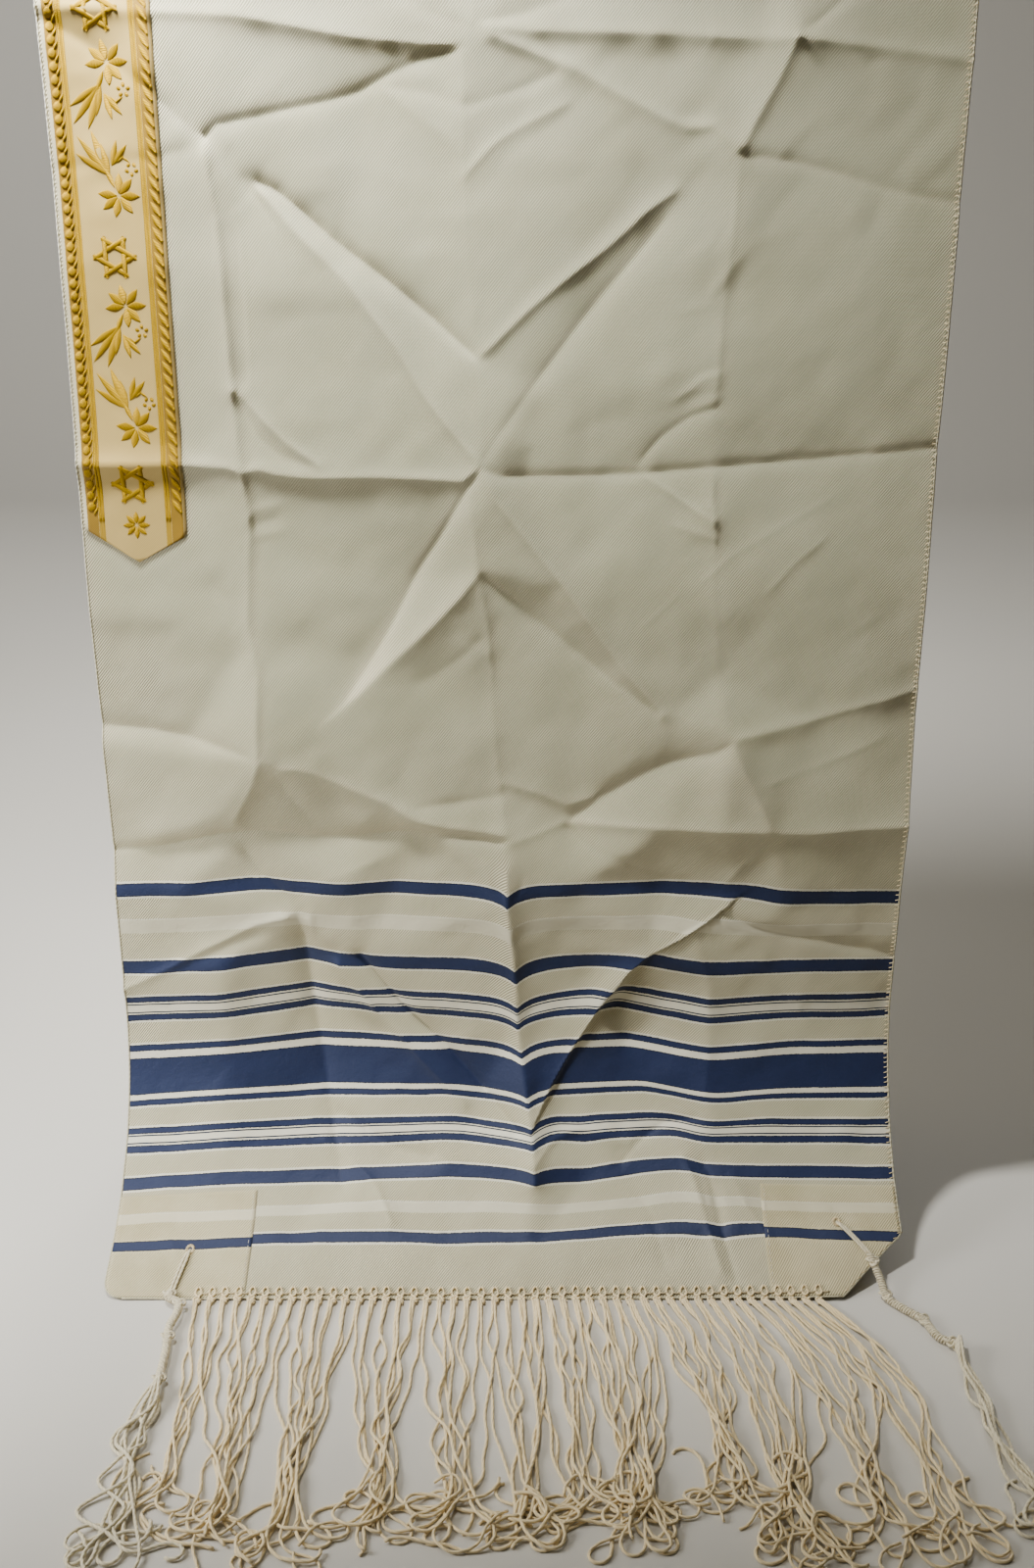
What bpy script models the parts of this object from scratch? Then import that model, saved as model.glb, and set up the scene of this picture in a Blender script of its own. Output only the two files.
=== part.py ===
"""Tallit prayer shawl hung over a rod: a striped shawl with a neckband, corner patches, fringes and tzitzit.

Metres, +Z up. X runs across the shawl, the front half faces -Y, and the origin is the rod's centre.
Run with: blender --background --python part.py
"""

import math

import bmesh
import bpy
import numpy as np
from mathutils import Matrix, Vector
from mathutils.geometry import delaunay_2d_cdt

MM = 0.001

# Shawl, in millimetres. "across" is measured from the left long edge, "down" from the fold over the rod.
WIDTH = 457.0
HALF_LENGTH = 914.0
WALL = 1.5
CORNER_RADIUS = 11.0
CORNER_CUT_ACROSS = 40.0
CORNER_CUT_DOWN = 34.0

# Rod and the way that each half falls from it.
ROD_RADIUS = 12.0
ROD_LENGTH = 557.0
ROD_SIDES = 48
ROD_EDGE = 1.5
CLEARANCE = 0.3
FOOT_RADIUS = 130.0
FOOT_TURN = math.radians(65.0)
TOE_LENGTH = 35.0

# Neckband along the left long edge, and the reinforcing patches at the corners.
BAND_INSET = 1.5
BAND_WIDTH = 54.0
BAND_SHOULDER_DOWN = 447.0
BAND_SLANT = 4.0
BAND_TIP_DOWN = 465.0
BAND_TIP_ACROSS = 29.0
BAND_THICKNESS = 1.0
PATCH_WIDTH = 80.0
PATCH_DOWN = 850.0
PATCH_THICKNESS = 1.0

# Fringe: one knotted strip along each hem, with a lock of yarn under every knot.
FRINGE_START = 50.0
FRINGE_END = 410.0
KNOT_PITCH = 7.6
KNOT_WIDTH = 2.6
STRIP_DEPTH = 3.0
STRIP_HEIGHT = 2.4
LOCK_LENGTH = 196.0
LOCK_UNEVEN = 0.07
LOCK_STATIONS = 6
LOCK_TIP = 1.5
LOCK_CURL = 3.0
LOCK_WAVE = 5.2
LOCK_SWEEP = 3.3
FLOOR_GAP = 0.4

# Tzitzit: a wound cord from each eyelet to a knot, with loose strands beyond it.
CORD_WIDTH = 3.4
CORD_CLEAR = 0.9
TASSEL_STRANDS = 8
TASSEL_STRAND_WIDTH = 1.4
TASSEL_STRAND_GAP = 1.2
TASSEL_STATIONS = 4
TASSEL_BEND = 1.3
TASSEL_SPREAD = 0.6

# Mesh spacing.
GRID_ACROSS = 27.0
GRID_DOWN = 21.0
GRID_CLEAR = 7.0
ROD_ROWS = 5

# Points where pressed creases meet: across, down, height towards the viewer, and how far the cloth is
# drawn up there, all in millimetres.
CREASE_POINTS = {
    "fold_a": (0, 34, 0, 0), "fold_b": (120, 34, 0, 0),
    "fold_c": (212, 34, 0, 0), "fold_d": (340, 34, 0, 0),
    "fold_e": (457, 34, 0, 0),
    "high_a": (0, 110, 5, 0), "high_b": (112, 112, 7, 0), "high_c": (212, 108, 4.5, 0),
    "high_d": (306, 112, 7, 0),
    "high_e": (380, 100, 5, 0), "high_f": (457, 124, 6, 0),
    "top_a": (0, 190, 9.5, 0), "top_b": (53, 192, 9.5, 0), "top_c": (94, 195, 9.5, 0),
    "top_d": (155, 204, 9.5, 0),
    "top_e": (204, 209, 9.5, 0), "top_star": (212, 201, 11, 0), "top_f": (235, 202, 10, 0),
    "top_g": (353, 207, 9.5, 0), "top_h": (370, 204, 11.5, 0), "top_i": (405, 212, 9.5, 0),
    "top_j": (457, 216, 8, 0),
    "under_a": (110, 206, 8, 0), "under_b": (162, 214, 7.5, 0), "under_c": (282, 214, 8, 0),
    "under_d": (342, 217, 8, 0),
    "second_a": (0, 261, 6, 0), "second_b": (76, 253, 7.5, 0), "second_c": (154, 233, 5.5, 0),
    "second_d": (262, 225, 8, 0), "second_e": (309, 247, 7.5, 0), "second_f": (345, 256, 9, 0),
    "second_g": (401, 270, 6, 0), "second_h": (457, 280, 5.5, 0),
    "small_a": (180, 229, 7, 0), "small_b": (207, 235, 8, 0), "small_c": (247, 229, 7.5, 0),
    "small_d": (207, 262, 6.5, 0),
    "band_low_a": (0, 274, 4.5, 0), "band_low_b": (58, 268, 5.5, 0),
    "left_a": (78, 296, 6.5, 0), "left_b": (82, 358, 6, 0), "left_c": (86, 398, 6, 0),
    "left_in_a": (91, 300, 5.5, 0), "left_in_b": (94, 360, 5, 0), "left_edge": (0, 340, 4, 0),
    "right_a": (346, 298, 7, 0), "right_b": (339, 362, 6, 0), "right_c": (336, 390, 5.5, 0),
    "right_edge": (457, 345, 5.5, 0), "right_field": (400, 350, 5.5, 0),
    "vee_left_a": (104, 275, 5, 0), "vee_left_b": (146, 304, 1.5, 0), "vee_left_c": (182, 334, 1.5, 0),
    "vee_left_d": (144, 320, 7, 0), "vee_left_e": (186, 375, 7.5, 0),
    "vee_mid": (213, 358, 5, 0), "vee_high": (209, 310, 5.5, 0),
    "vee_right_a": (310, 279, 5, 0), "vee_right_b": (262, 317, 5.5, 0), "vee_right_c": (281, 322, 4.5, 0),
    "vee_right_d": (246, 370, 4.5, 0),
    "middle_a": (0, 414, 7.5, 0), "middle_b": (56, 413, 7.5, 0), "middle_c": (87, 415, 7.5, 0),
    "middle_d": (127, 420, 7, 0), "middle_e": (204, 421, 7, 0), "star": (215, 411, 9, 0),
    "middle_f": (236, 419, 4, 0), "middle_g": (300, 417, 2.5, 0), "middle_h": (338, 416, 4, 0),
    "middle_i": (372, 413, 1.5, 0), "middle_j": (457, 407, 1, 0),
    "above_a": (0, 404, 5.5, 0), "above_b": (56, 403, 5.5, 0),
    "below_a": (0, 423, 5, 0), "below_b": (56, 422, 5, 0), "below_c": (128, 429, 5, 0),
    "below_d": (190, 431, 5, 0),
    "leg_left_a": (174, 478, 1.5, 0), "leg_left_b": (148, 522, 1, 0), "leg_left_c": (127, 556, 5.5, 0),
    "leg_left_d": (190, 498, 7, 0), "leg_left_e": (162, 526, 6, 0),
    "leg_mid": (212, 471, 6, 0),
    "leg_right_a": (258, 477, 5.5, 0), "leg_right_b": (292, 520, 5, 0), "leg_right_c": (321, 551, 4, 0),
    "leg_right_d": (240, 492, 1, 0), "leg_right_e": (274, 520, 1, 0),
    "left_d": (86, 452, 5, 0), "left_e": (88, 505, 6, 0), "left_star": (88, 576, 10, 0),
    "right_d": (341, 446, 4.5, 0), "right_e": (343, 482, 5, 0), "right_f": (346, 530, 3, 0),
    "right_star": (355, 568, 10, 0), "right_edge_b": (457, 470, 3, 0), "left_edge_b": (0, 490, 5, 0),
    "lower_a": (0, 558, 0, 0), "lower_b": (50, 564, 0, 0), "lower_c": (0, 568, 3, 0),
    "lower_d": (50, 577, 4, 0),
    "lower_e": (402, 556, 3.5, 0), "lower_f": (457, 537, 1.5, 0), "lower_g": (404, 567, 3, 0),
    "lower_h": (457, 549, 1, 0),
    "knee_a": (67, 609, 5, 0), "knee_b": (108, 584, 6, 0), "knee_c": (128, 573, 6, 0),
    "knee_d": (156, 607, 5.5, 0),
    "knee_e": (190, 623, 6, 0), "knee_f": (326, 581, 2, 0), "knee_g": (264, 617, -1, 0),
    "knee_h": (384, 617, 8, 0),
    "centre_a": (220, 533, 2, 0), "centre_b": (223, 594, 1, 0),
    "low_a": (0, 640, -1, 0), "low_b": (76, 627, -1, 0), "low_c": (132, 627, -1, 0),
    "low_d": (176, 625, 1, 0),
    "low_star": (227, 627, 6, 0), "low_e": (317, 620, 7, 0), "low_f": (350, 620, 8, 0),
    "low_g": (457, 620, 6, 0),
    "stripe_a": (0, 660, 4, 0), "stripe_b": (38, 657, 4, 0), "stripe_c": (77, 655, -2, 2),
    "stripe_d": (132, 652, 5, 0),
    "stripe_e": (227, 664, 8, 1), "stripe_f": (272, 652, 4, 0), "stripe_g": (318, 656, -1, 0),
    "stripe_h": (364, 660, 3, 0), "stripe_i": (386, 671, 5, -5), "stripe_j": (457, 658, 1, -6),
    "pair_a": (0, 723, 2, 0), "pair_b": (60, 706, 5, 4), "pair_c": (102, 683, 1, 4),
    "pair_d": (108, 706, -3, 7),
    "pair_e": (141, 705, 3, 4), "pair_f": (188, 726, 4, 5), "pair_g": (231, 711, 8.5, 2),
    "pair_h": (276, 716, 2, 5),
    "pair_i": (312, 702, 5.5, 4.5), "pair_j": (350, 679, 4.5, 0), "pair_k": (350, 714, 5, -0.5),
    "pair_l": (400, 702, 3, 1),
    "pair_m": (457, 702, 0, 0),
    "wide_a": (0, 780, 0, 0), "wide_b": (60, 780, 2, 4), "wide_c": (112, 745, -6, 7.5),
    "wide_d": (117, 779, -6, 7),
    "wide_e": (188, 764, 4, 7), "wide_f": (213, 788, 3, 5), "wide_g": (233, 744, 10.5, 4),
    "wide_h": (238, 780, 12.5, 4),
    "wide_i": (292, 735, -2, 8), "wide_j": (280, 748, 7, 9), "wide_k": (262, 781, 7, 8),
    "wide_l": (300, 776, 2, 9),
    "wide_m": (349, 784, 6, 0.5), "wide_n": (410, 780, 2, 5), "wide_o": (457, 780, 0, 5),
    "last_a": (0, 844, 0, 0), "last_b": (60, 840, 0, 4),
    "last_c": (127, 832, -5, 7), "last_d": (200, 836, 2, 9),
    "last_e": (243, 836, 11, 3), "last_f": (255, 828, 6, 10), "last_g": (277, 838, 3, 5),
    "last_h": (296, 836, 3, 10), "last_i": (331, 832, 4, 12),
    "last_j": (344, 838, 5, 7), "last_k": (457, 840, 0, 7),
    "hem_a": (0, 890, 0, 0), "hem_b": (100, 884, -1, 5),
    "hem_c": (240, 888, 2, 3), "hem_d": (336, 882, 2, 13),
    "hem_e": (348, 882, 0, 8), "hem_f": (361, 882, 3, 11),
    "hem_g": (400, 882, 1, 9), "hem_h": (457, 880, 0, 8),
    "edge_a": (0, 914, 0, 0), "edge_b": (230, 914, 0, 0), "edge_c": (457, 914, 0, 0),
    "corner_a": (0, 0, 0, 0), "corner_b": (457, 0, 0, 0),
}

# Each fold runs straight from point to point.
FOLDS = (
    "fold_a fold_b fold_c fold_d fold_e",
    "high_a high_b high_c high_d high_e high_f",
    "high_b top_star high_d",
    "high_c top_star",
    "high_e top_h high_f",
    "top_a top_b top_c top_d top_e top_star top_f top_g top_h top_i top_j",
    "under_a under_b",
    "under_c under_d",
    "top_b second_b second_c top_e",
    "second_a second_b",
    "top_star small_b small_d vee_high vee_mid star",
    "small_a small_b small_c small_d small_a",
    "top_f second_d second_e second_f",
    "top_h second_f second_g second_h",
    "band_low_a band_low_b",
    "second_b left_a left_b left_c middle_c",
    "left_in_a left_in_b",
    "second_f right_a right_b right_c middle_h right_d right_e right_f right_star",
    "vee_left_a vee_left_b vee_left_c vee_mid",
    "vee_left_a vee_left_d vee_left_e star",
    "vee_right_a vee_right_b vee_mid",
    "vee_right_a vee_right_c vee_right_d star",
    "left_c middle_d",
    "right_c middle_g",
    "middle_a middle_b middle_c middle_d middle_e star middle_f middle_g middle_h middle_i middle_j",
    "above_a above_b",
    "below_a below_b",
    "below_c below_d",
    "star leg_left_a leg_left_b leg_left_c",
    "leg_mid leg_left_d leg_left_e leg_left_c",
    "star leg_right_a leg_right_b leg_right_c",
    "leg_mid leg_right_d leg_right_e leg_right_c",
    "star leg_mid centre_a centre_b low_star",
    "middle_c left_d left_e left_star",
    "lower_a lower_b left_star",
    "lower_c lower_d",
    "right_star lower_e lower_f",
    "lower_g lower_h",
    "leg_left_c knee_c knee_b left_star knee_a low_b",
    "knee_c knee_d knee_e low_star",
    "leg_right_c right_star knee_f knee_g low_star",
    "right_star knee_h",
    "low_a low_b low_c low_d knee_e",
    "knee_g low_e low_f knee_h low_g",
    "low_star stripe_e pair_g wide_g wide_h last_e",
    "stripe_h stripe_i",
    "stripe_b stripe_c stripe_d",
    "pair_a pair_c",
    "stripe_c pair_c pair_d wide_c wide_d last_c",
    "pair_e wide_e wide_f",
    "stripe_h pair_j pair_i wide_j wide_k wide_h",
    "pair_k wide_m last_j hem_e",
)

# Sideways drift of the locks' far ends by where they start: across, drift.
LOCK_DRIFT = ((50, 5), (140, -3), (220, 1), (300, 12), (360, 26), (410, 44))

# Route of each front tzitzit from its eyelet: across and forward of the hem, then the strands' far end.
TASSEL_ROUTES = {
    "left": {"cord": ((44, -28), (35, 3), (36, 15), (33, 40), (34, 70)), "end": (28, 192)},
    "right": {"cord": ((420, -30), (437, -3), (451, 16), (464, 36), (471, 52)), "end": (484, 160)},
}

COLOURS = {
    "cloth": ("CFCAB8", 0.55),
    "neckband": ("CDB060", 0.5),
    "patch": ("D9CFB0", 0.6),
    "fringe": ("C9B48A", 0.75),
    "tzitzit": ("D6CCB0", 0.7),
    "rod": ("B9B6B0", 0.4),
}


def linear(hex_colour):
    """An sRGB hex colour as linear RGBA."""
    channels = [int(hex_colour[i : i + 2], 16) / 255 for i in (0, 2, 4)]
    return [c / 12.92 if c <= 0.04045 else ((c + 0.055) / 1.055) ** 2.4 for c in channels] + [1.0]


def material(name):
    hex_colour, roughness = COLOURS[name]
    made = bpy.data.materials.get(name) or bpy.data.materials.new(name)
    made.use_nodes = True
    shader = made.node_tree.nodes["Principled BSDF"]
    shader.inputs["Base Color"].default_value = linear(hex_colour)
    shader.inputs["Roughness"].default_value = roughness
    shader.inputs["Metallic"].default_value = 0.0
    return made


def add_object(name, bm, material_name, smooth=True):
    """One closed mesh object from a bmesh whose points are in millimetres."""
    bmesh.ops.recalc_face_normals(bm, faces=bm.faces)
    bmesh.ops.scale(bm, vec=(MM, MM, MM), verts=bm.verts)
    mesh = bpy.data.meshes.new(name)
    bm.to_mesh(mesh)
    bm.free()
    mesh.materials.append(material(material_name))
    made = bpy.data.objects.new(name, mesh)
    bpy.context.scene.collection.objects.link(made)
    if smooth:
        mesh.shade_smooth()
        mesh.set_sharp_from_angle(angle=math.radians(40))
    return made


# Where the cloth's middle surface lies.
LAY_RADIUS = ROD_RADIUS + CLEARANCE + WALL / 2
QUARTER = LAY_RADIUS * math.pi / 2
FOOT_LENGTH = FOOT_RADIUS * FOOT_TURN
DROP = HALF_LENGTH - QUARTER - FOOT_LENGTH - TOE_LENGTH


def fall(down):
    """The side profile of a half without folds: distance out, height, and the normal's two parts."""
    turn = np.clip(down / LAY_RADIUS, 0, math.pi / 2)
    drop = np.clip(down - QUARTER, 0, DROP)
    bend = np.clip((down - QUARTER - DROP) / FOOT_RADIUS, 0, FOOT_TURN)
    toe = np.maximum(down - QUARTER - DROP - FOOT_LENGTH, 0)
    out = LAY_RADIUS * np.sin(turn) + FOOT_RADIUS * (1 - np.cos(bend)) + toe * math.sin(FOOT_TURN)
    height = LAY_RADIUS * np.cos(turn) - drop - FOOT_RADIUS * np.sin(bend) - toe * math.cos(FOOT_TURN)
    return out, height, np.sin(turn) * np.cos(bend), np.cos(turn) + np.sin(bend)


HEM_OUT, HEM_HEIGHT = (float(v) for v in fall(np.float64(HALF_LENGTH))[:2])
FLOOR = HEM_HEIGHT - WALL / 2 * math.sin(FOOT_TURN)
ON_CLOTH = WALL / 2 + CLEARANCE
BEYOND_HEM = HEM_OUT + (ON_CLOTH + PATCH_THICKNESS) * math.cos(FOOT_TURN) + CLEARANCE


def crease_net():
    """Triangles of the crease points, as arrays of corner places and of height and lift at the corners."""
    names = list(CREASE_POINTS)
    places = [Vector(CREASE_POINTS[name][:2]) for name in names]
    runs = [fold.split() for fold in FOLDS]
    lines = [(names.index(a), names.index(b)) for run in runs for a, b in zip(run, run[1:])]
    points, _, triangles, origins, _, _ = delaunay_2d_cdt(places, lines, [], 0, 1e-4)
    given = [CREASE_POINTS[names[kept[0]]][2:] if kept else None for kept in origins]
    if None in given:
        raise ValueError("two folds cross between their points")
    corners = np.array([[points[i] for i in triangle] for triangle in triangles])
    values = np.array([[given[i] for i in triangle] for triangle in triangles], float)
    return corners, values


def height_and_lift(across, down, net):
    """Height and lift at each place, straight between the crease points."""
    corners, values = net
    found = np.zeros((len(across), 2))
    nearest = np.full(len(across), -np.inf)
    for (a, b, c), value in zip(corners, values):
        area = (b[0] - a[0]) * (c[1] - a[1]) - (b[1] - a[1]) * (c[0] - a[0])
        if abs(area) < 1e-9:
            continue
        share_b = ((across - a[0]) * (c[1] - a[1]) - (down - a[1]) * (c[0] - a[0])) / area
        share_c = ((b[0] - a[0]) * (down - a[1]) - (b[1] - a[1]) * (across - a[0])) / area
        shares = np.column_stack((1 - share_b - share_c, share_b, share_c))
        inside = shares.min(axis=1)
        better = inside > nearest
        nearest = np.where(better, inside, nearest)
        found[better] = (shares @ value)[better]
    return found


def place(across, along, offset, net):
    """World points, in millimetres, of cloth places moved out by offset from the middle surface.

    along is measured from the fold over the rod, forward for the front half and back for the back half,
    which falls as the front half does, turned round.
    """
    side = np.where(along >= 0, 1.0, -1.0)
    turned = np.where(along >= 0, across, WIDTH - across)
    height, lift = height_and_lift(turned, np.abs(along), net).T
    out, up, normal_out, normal_up = fall(np.abs(along) - lift)
    reach = np.sqrt(normal_out**2 + normal_up**2)
    moved = (height + offset) / reach
    x = across - WIDTH / 2
    return np.column_stack((x, -side * (out + normal_out * moved), up + normal_up * moved))


def corner_points(along_sign, at_right, cut):
    """A hem corner's points from the long edge to the hem: round, or drawn in along a slant."""
    edge = WIDTH if at_right else 0.0
    inward = -1.0 if at_right else 1.0
    if cut:
        inner = (edge + inward * CORNER_CUT_ACROSS, HALF_LENGTH)
        points = [(edge, HALF_LENGTH - CORNER_CUT_DOWN), inner]
    else:
        turns = [math.radians(angle) for angle in (0, 30, 60, 90)]
        points = [
            (
                edge + inward * CORNER_RADIUS * (1 - math.cos(turn)),
                HALF_LENGTH - CORNER_RADIUS * (1 - math.sin(turn)),
            )
            for turn in turns
        ]
    return [(across, along_sign * down) for across, down in points]


def cloth_outline():
    front = corner_points(1, False, False) + corner_points(1, True, True)[::-1]
    back = corner_points(-1, True, False) + corner_points(-1, False, True)[::-1]
    return front + back


def band_outline():
    left, right = BAND_INSET, BAND_INSET + BAND_WIDTH
    tip = (BAND_TIP_ACROSS, BAND_TIP_DOWN)
    front = [(left, BAND_SHOULDER_DOWN), tip, (right, BAND_SHOULDER_DOWN + BAND_SLANT)]
    return front + [(across, -down) for across, down in reversed(front)]


def patch_edges():
    """The two inner edges of each corner patch, as pairs of places."""
    edges = []
    for sign in (1, -1):
        for edge, inner in ((0.0, PATCH_WIDTH), (WIDTH, WIDTH - PATCH_WIDTH)):
            edges.append(((edge, sign * PATCH_DOWN), (inner, sign * PATCH_DOWN)))
            edges.append(((inner, sign * PATCH_DOWN), (inner, sign * HALF_LENGTH)))
    return edges


def distance_to_lines(points, starts, ends):
    """The distance from each point to the nearest of the straight lines."""
    nearest = np.full(len(points), np.inf)
    for start, end in zip(starts, ends):
        run = end - start
        share = np.clip((points - start) @ run / max(run @ run, 1e-9), 0, 1)
        nearest = np.minimum(nearest, np.linalg.norm(points - start - share[:, None] * run, axis=1))
    return nearest


def cloth_triangles():
    """Flat triangulation of the whole shawl: places, triangles, with every crease and outline as an edge."""
    places, lines = [], []

    def add_line(points, closed=False):
        first = len(places)
        places.extend(points)
        last = len(points) if closed else len(points) - 1
        lines.extend((first + i, first + (i + 1) % len(points)) for i in range(last))

    add_line(cloth_outline(), closed=True)
    add_line(band_outline(), closed=True)
    for edge in patch_edges():
        add_line(edge)
    for i in range(-ROD_ROWS, ROD_ROWS + 1):
        down = QUARTER * i / ROD_ROWS
        add_line([(0.0, down), (WIDTH, down)])
    for fold in FOLDS:
        flat = [CREASE_POINTS[name][:2] for name in fold.split()]
        inside = [(a, d) for a, d in flat if d < HALF_LENGTH - 1]
        if len(inside) > 1:
            add_line(inside)
            add_line([(WIDTH - a, -d) for a, d in inside])
    columns = np.linspace(0, WIDTH, round(WIDTH / GRID_ACROSS) + 1)
    rows = np.arange(QUARTER + GRID_DOWN, HALF_LENGTH - 2, GRID_DOWN)
    grid = np.array([(a, sign * d) for sign in (1, -1) for d in rows for a in columns])
    ends = np.array(places)
    starts = ends[[a for a, _ in lines]]
    stops = ends[[b for _, b in lines]]
    outline_count = len(cloth_outline())
    on_border = (grid[:, 0] < 1) | (grid[:, 0] > WIDTH - 1)
    clear = distance_to_lines(grid, starts[outline_count:], stops[outline_count:]) > GRID_CLEAR
    cut_off = (np.abs(grid[:, 1]) > HALF_LENGTH - CORNER_CUT_DOWN - 1) & (
        (grid[:, 0] < CORNER_CUT_ACROSS) | (grid[:, 0] > WIDTH - CORNER_CUT_ACROSS)
    )
    near_end = np.min(np.linalg.norm(grid[:, None] - ends[None], axis=2), axis=1) < GRID_CLEAR
    kept = grid[~cut_off & ((clear & ~on_border) | (on_border & ~near_end))]
    places.extend(map(tuple, kept))
    points, _, triangles, _, _, _ = delaunay_2d_cdt([Vector(p) for p in places], lines, [], 0, 1e-3)
    flat = np.array([tuple(p) for p in points])
    corners = flat[np.array(triangles)]
    edge_a, edge_b = corners[:, 1] - corners[:, 0], corners[:, 2] - corners[:, 0]
    area = np.abs(edge_a[:, 0] * edge_b[:, 1] - edge_a[:, 1] * edge_b[:, 0])
    return flat, np.array(triangles)[area > 0.05]


def inside_polygon(points, outline):
    """Whether each point lies within the closed outline."""
    hit = np.zeros(len(points), bool)
    for (ax, ay), (bx, by) in zip(outline, outline[1:] + outline[:1]):
        if ay == by:
            continue
        crosses = (ay > points[:, 1]) != (by > points[:, 1])
        reach = ax + (points[:, 1] - ay) / (by - ay) * (bx - ax)
        hit ^= crosses & (points[:, 0] < reach)
    return hit


def walled(name, flat, triangles, inner, outer, net, material_name):
    """A closed wall between two offsets of the cloth's own triangles."""
    used, index = np.unique(triangles, return_inverse=True)
    faces = index.reshape(-1, 3)
    across, along = flat[used].T
    bm = bmesh.new()
    layers = []
    for offset in (inner, outer):
        layers.append([bm.verts.new(p) for p in place(across, along, offset, net)])
    borders = {}
    for face in faces:
        bm.faces.new([layers[1][i] for i in face])
        bm.faces.new([layers[0][i] for i in reversed(face)])
        for a, b in zip(face, np.roll(face, -1)):
            if (b, a) in borders:
                del borders[(b, a)]
            else:
                borders[(a, b)] = True
    for a, b in borders:
        bm.faces.new((layers[0][a], layers[0][b], layers[1][b], layers[1][a]))
    return add_object(name, bm, material_name)


def add_lock(bm, face, rings):
    """Runs a lock or cord on from a face: one ring of points after another, then its closed tip."""
    corners = [loop.vert for loop in face.loops]
    bm.faces.remove(face)
    for ring in rings:
        following = [bm.verts.new(point) for point in ring]
        for i in range(4):
            j = (i + 1) % 4
            bm.faces.new((corners[i], corners[j], following[j], following[i]))
        corners = following
    bm.faces.new(corners)


def strip_box(bm, edges, back, front, bottom, top):
    """A bar along X with a cross-section at each edge, and its front and back faces between the edges."""
    rings = [
        [bm.verts.new((x, y, z)) for y, z in ((back, bottom), (front, bottom), (front, top), (back, top))]
        for x in edges
    ]
    bm.faces.new(rings[0])
    bm.faces.new(rings[-1][::-1])
    fronts, backs = [], []
    for this, following in zip(rings, rings[1:]):
        for i in range(4):
            j = (i + 1) % 4
            made = bm.faces.new((this[i], following[i], following[j], this[j]))
            if i == 1:
                fronts.append(made)
            if i == 3:
                backs.append(made)
    return fronts, backs


def ring_about(centre, heading, width, height):
    """Four points round a place on the floor, square to the heading, in strip_box's order of a front face."""
    sideways = Vector((-heading[1], heading[0], 0)).normalized() * width / 2
    low = Vector(centre)
    high = low + Vector((0, 0, height))
    return [low + sideways, low - sideways, high - sideways, high + sideways]


def untwisted(face, rings):
    """The rings, each with its points in the order of the face's corners so that no side twists."""
    before = [loop.vert.co for loop in face.loops]
    ordered = []
    for ring in rings:
        orders = [ring[i:] + ring[:i] for i in range(4)]
        orders += [order[::-1] for order in orders]
        before = min(orders, key=lambda order: sum((a - b).length for a, b in zip(before, order)))
        ordered.append(before)
    return ordered


def rings_along(face, centres, widths, height):
    """Rings along a lock or strand that lies on the floor, from the face that it runs on from."""
    rings = []
    for i, (centre, width) in enumerate(zip(centres[1:], widths)):
        ahead = centres[min(i + 2, len(centres) - 1)]
        heading = (Vector(ahead) - Vector(centres[i])).normalized()
        rings.append(ring_about(centre, heading, width, height))
    return untwisted(face, rings)


def turned_half(bm, side):
    """Turns what was made in front round to the back half."""
    if side < 0:
        bmesh.ops.rotate(bm, cent=(0, 0, 0), matrix=Matrix.Rotation(math.pi, 3, "Z"), verts=bm.verts)


def build_fringe(name, side):
    """The knotted strip beyond a hem, and its locks lying forward on the floor."""
    count = int((FRINGE_END - FRINGE_START) // KNOT_PITCH) + 1
    knots = [FRINGE_START + KNOT_PITCH * (i + 0.5) for i in range(count)]
    edges = [FRINGE_START - WIDTH / 2]
    for knot in knots:
        edges += [knot - KNOT_WIDTH / 2 - WIDTH / 2, knot + KNOT_WIDTH / 2 - WIDTH / 2]
    edges.append(knots[-1] + KNOT_PITCH / 2 - WIDTH / 2)
    hem = -BEYOND_HEM
    bottom = FLOOR + FLOOR_GAP
    bm = bmesh.new()
    fronts, _ = strip_box(bm, edges, hem, hem - STRIP_DEPTH, bottom, bottom + STRIP_HEIGHT)
    drift_at, drift = zip(*LOCK_DRIFT)
    for i, knot in enumerate(knots):
        sweep = float(np.interp(knot, drift_at, drift))
        length = LOCK_LENGTH * (1 - LOCK_UNEVEN * ((i * 5) % 4) / 3)
        centres = []
        for step in range(LOCK_STATIONS + 1):
            share = step / LOCK_STATIONS
            curl = LOCK_CURL * math.sin(share * LOCK_WAVE) * share
            x = knot - WIDTH / 2 + sweep * (1 - (1 - share) ** LOCK_SWEEP) + curl
            centres.append((x, hem - STRIP_DEPTH - length * share, bottom))
        widths = np.linspace(KNOT_WIDTH, LOCK_TIP, LOCK_STATIONS)
        face = fronts[1 + 2 * i]
        add_lock(bm, face, rings_along(face, centres, widths, LOCK_TIP))
    turned_half(bm, side)
    add_object(name, bm, "fringe", smooth=False)


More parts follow.
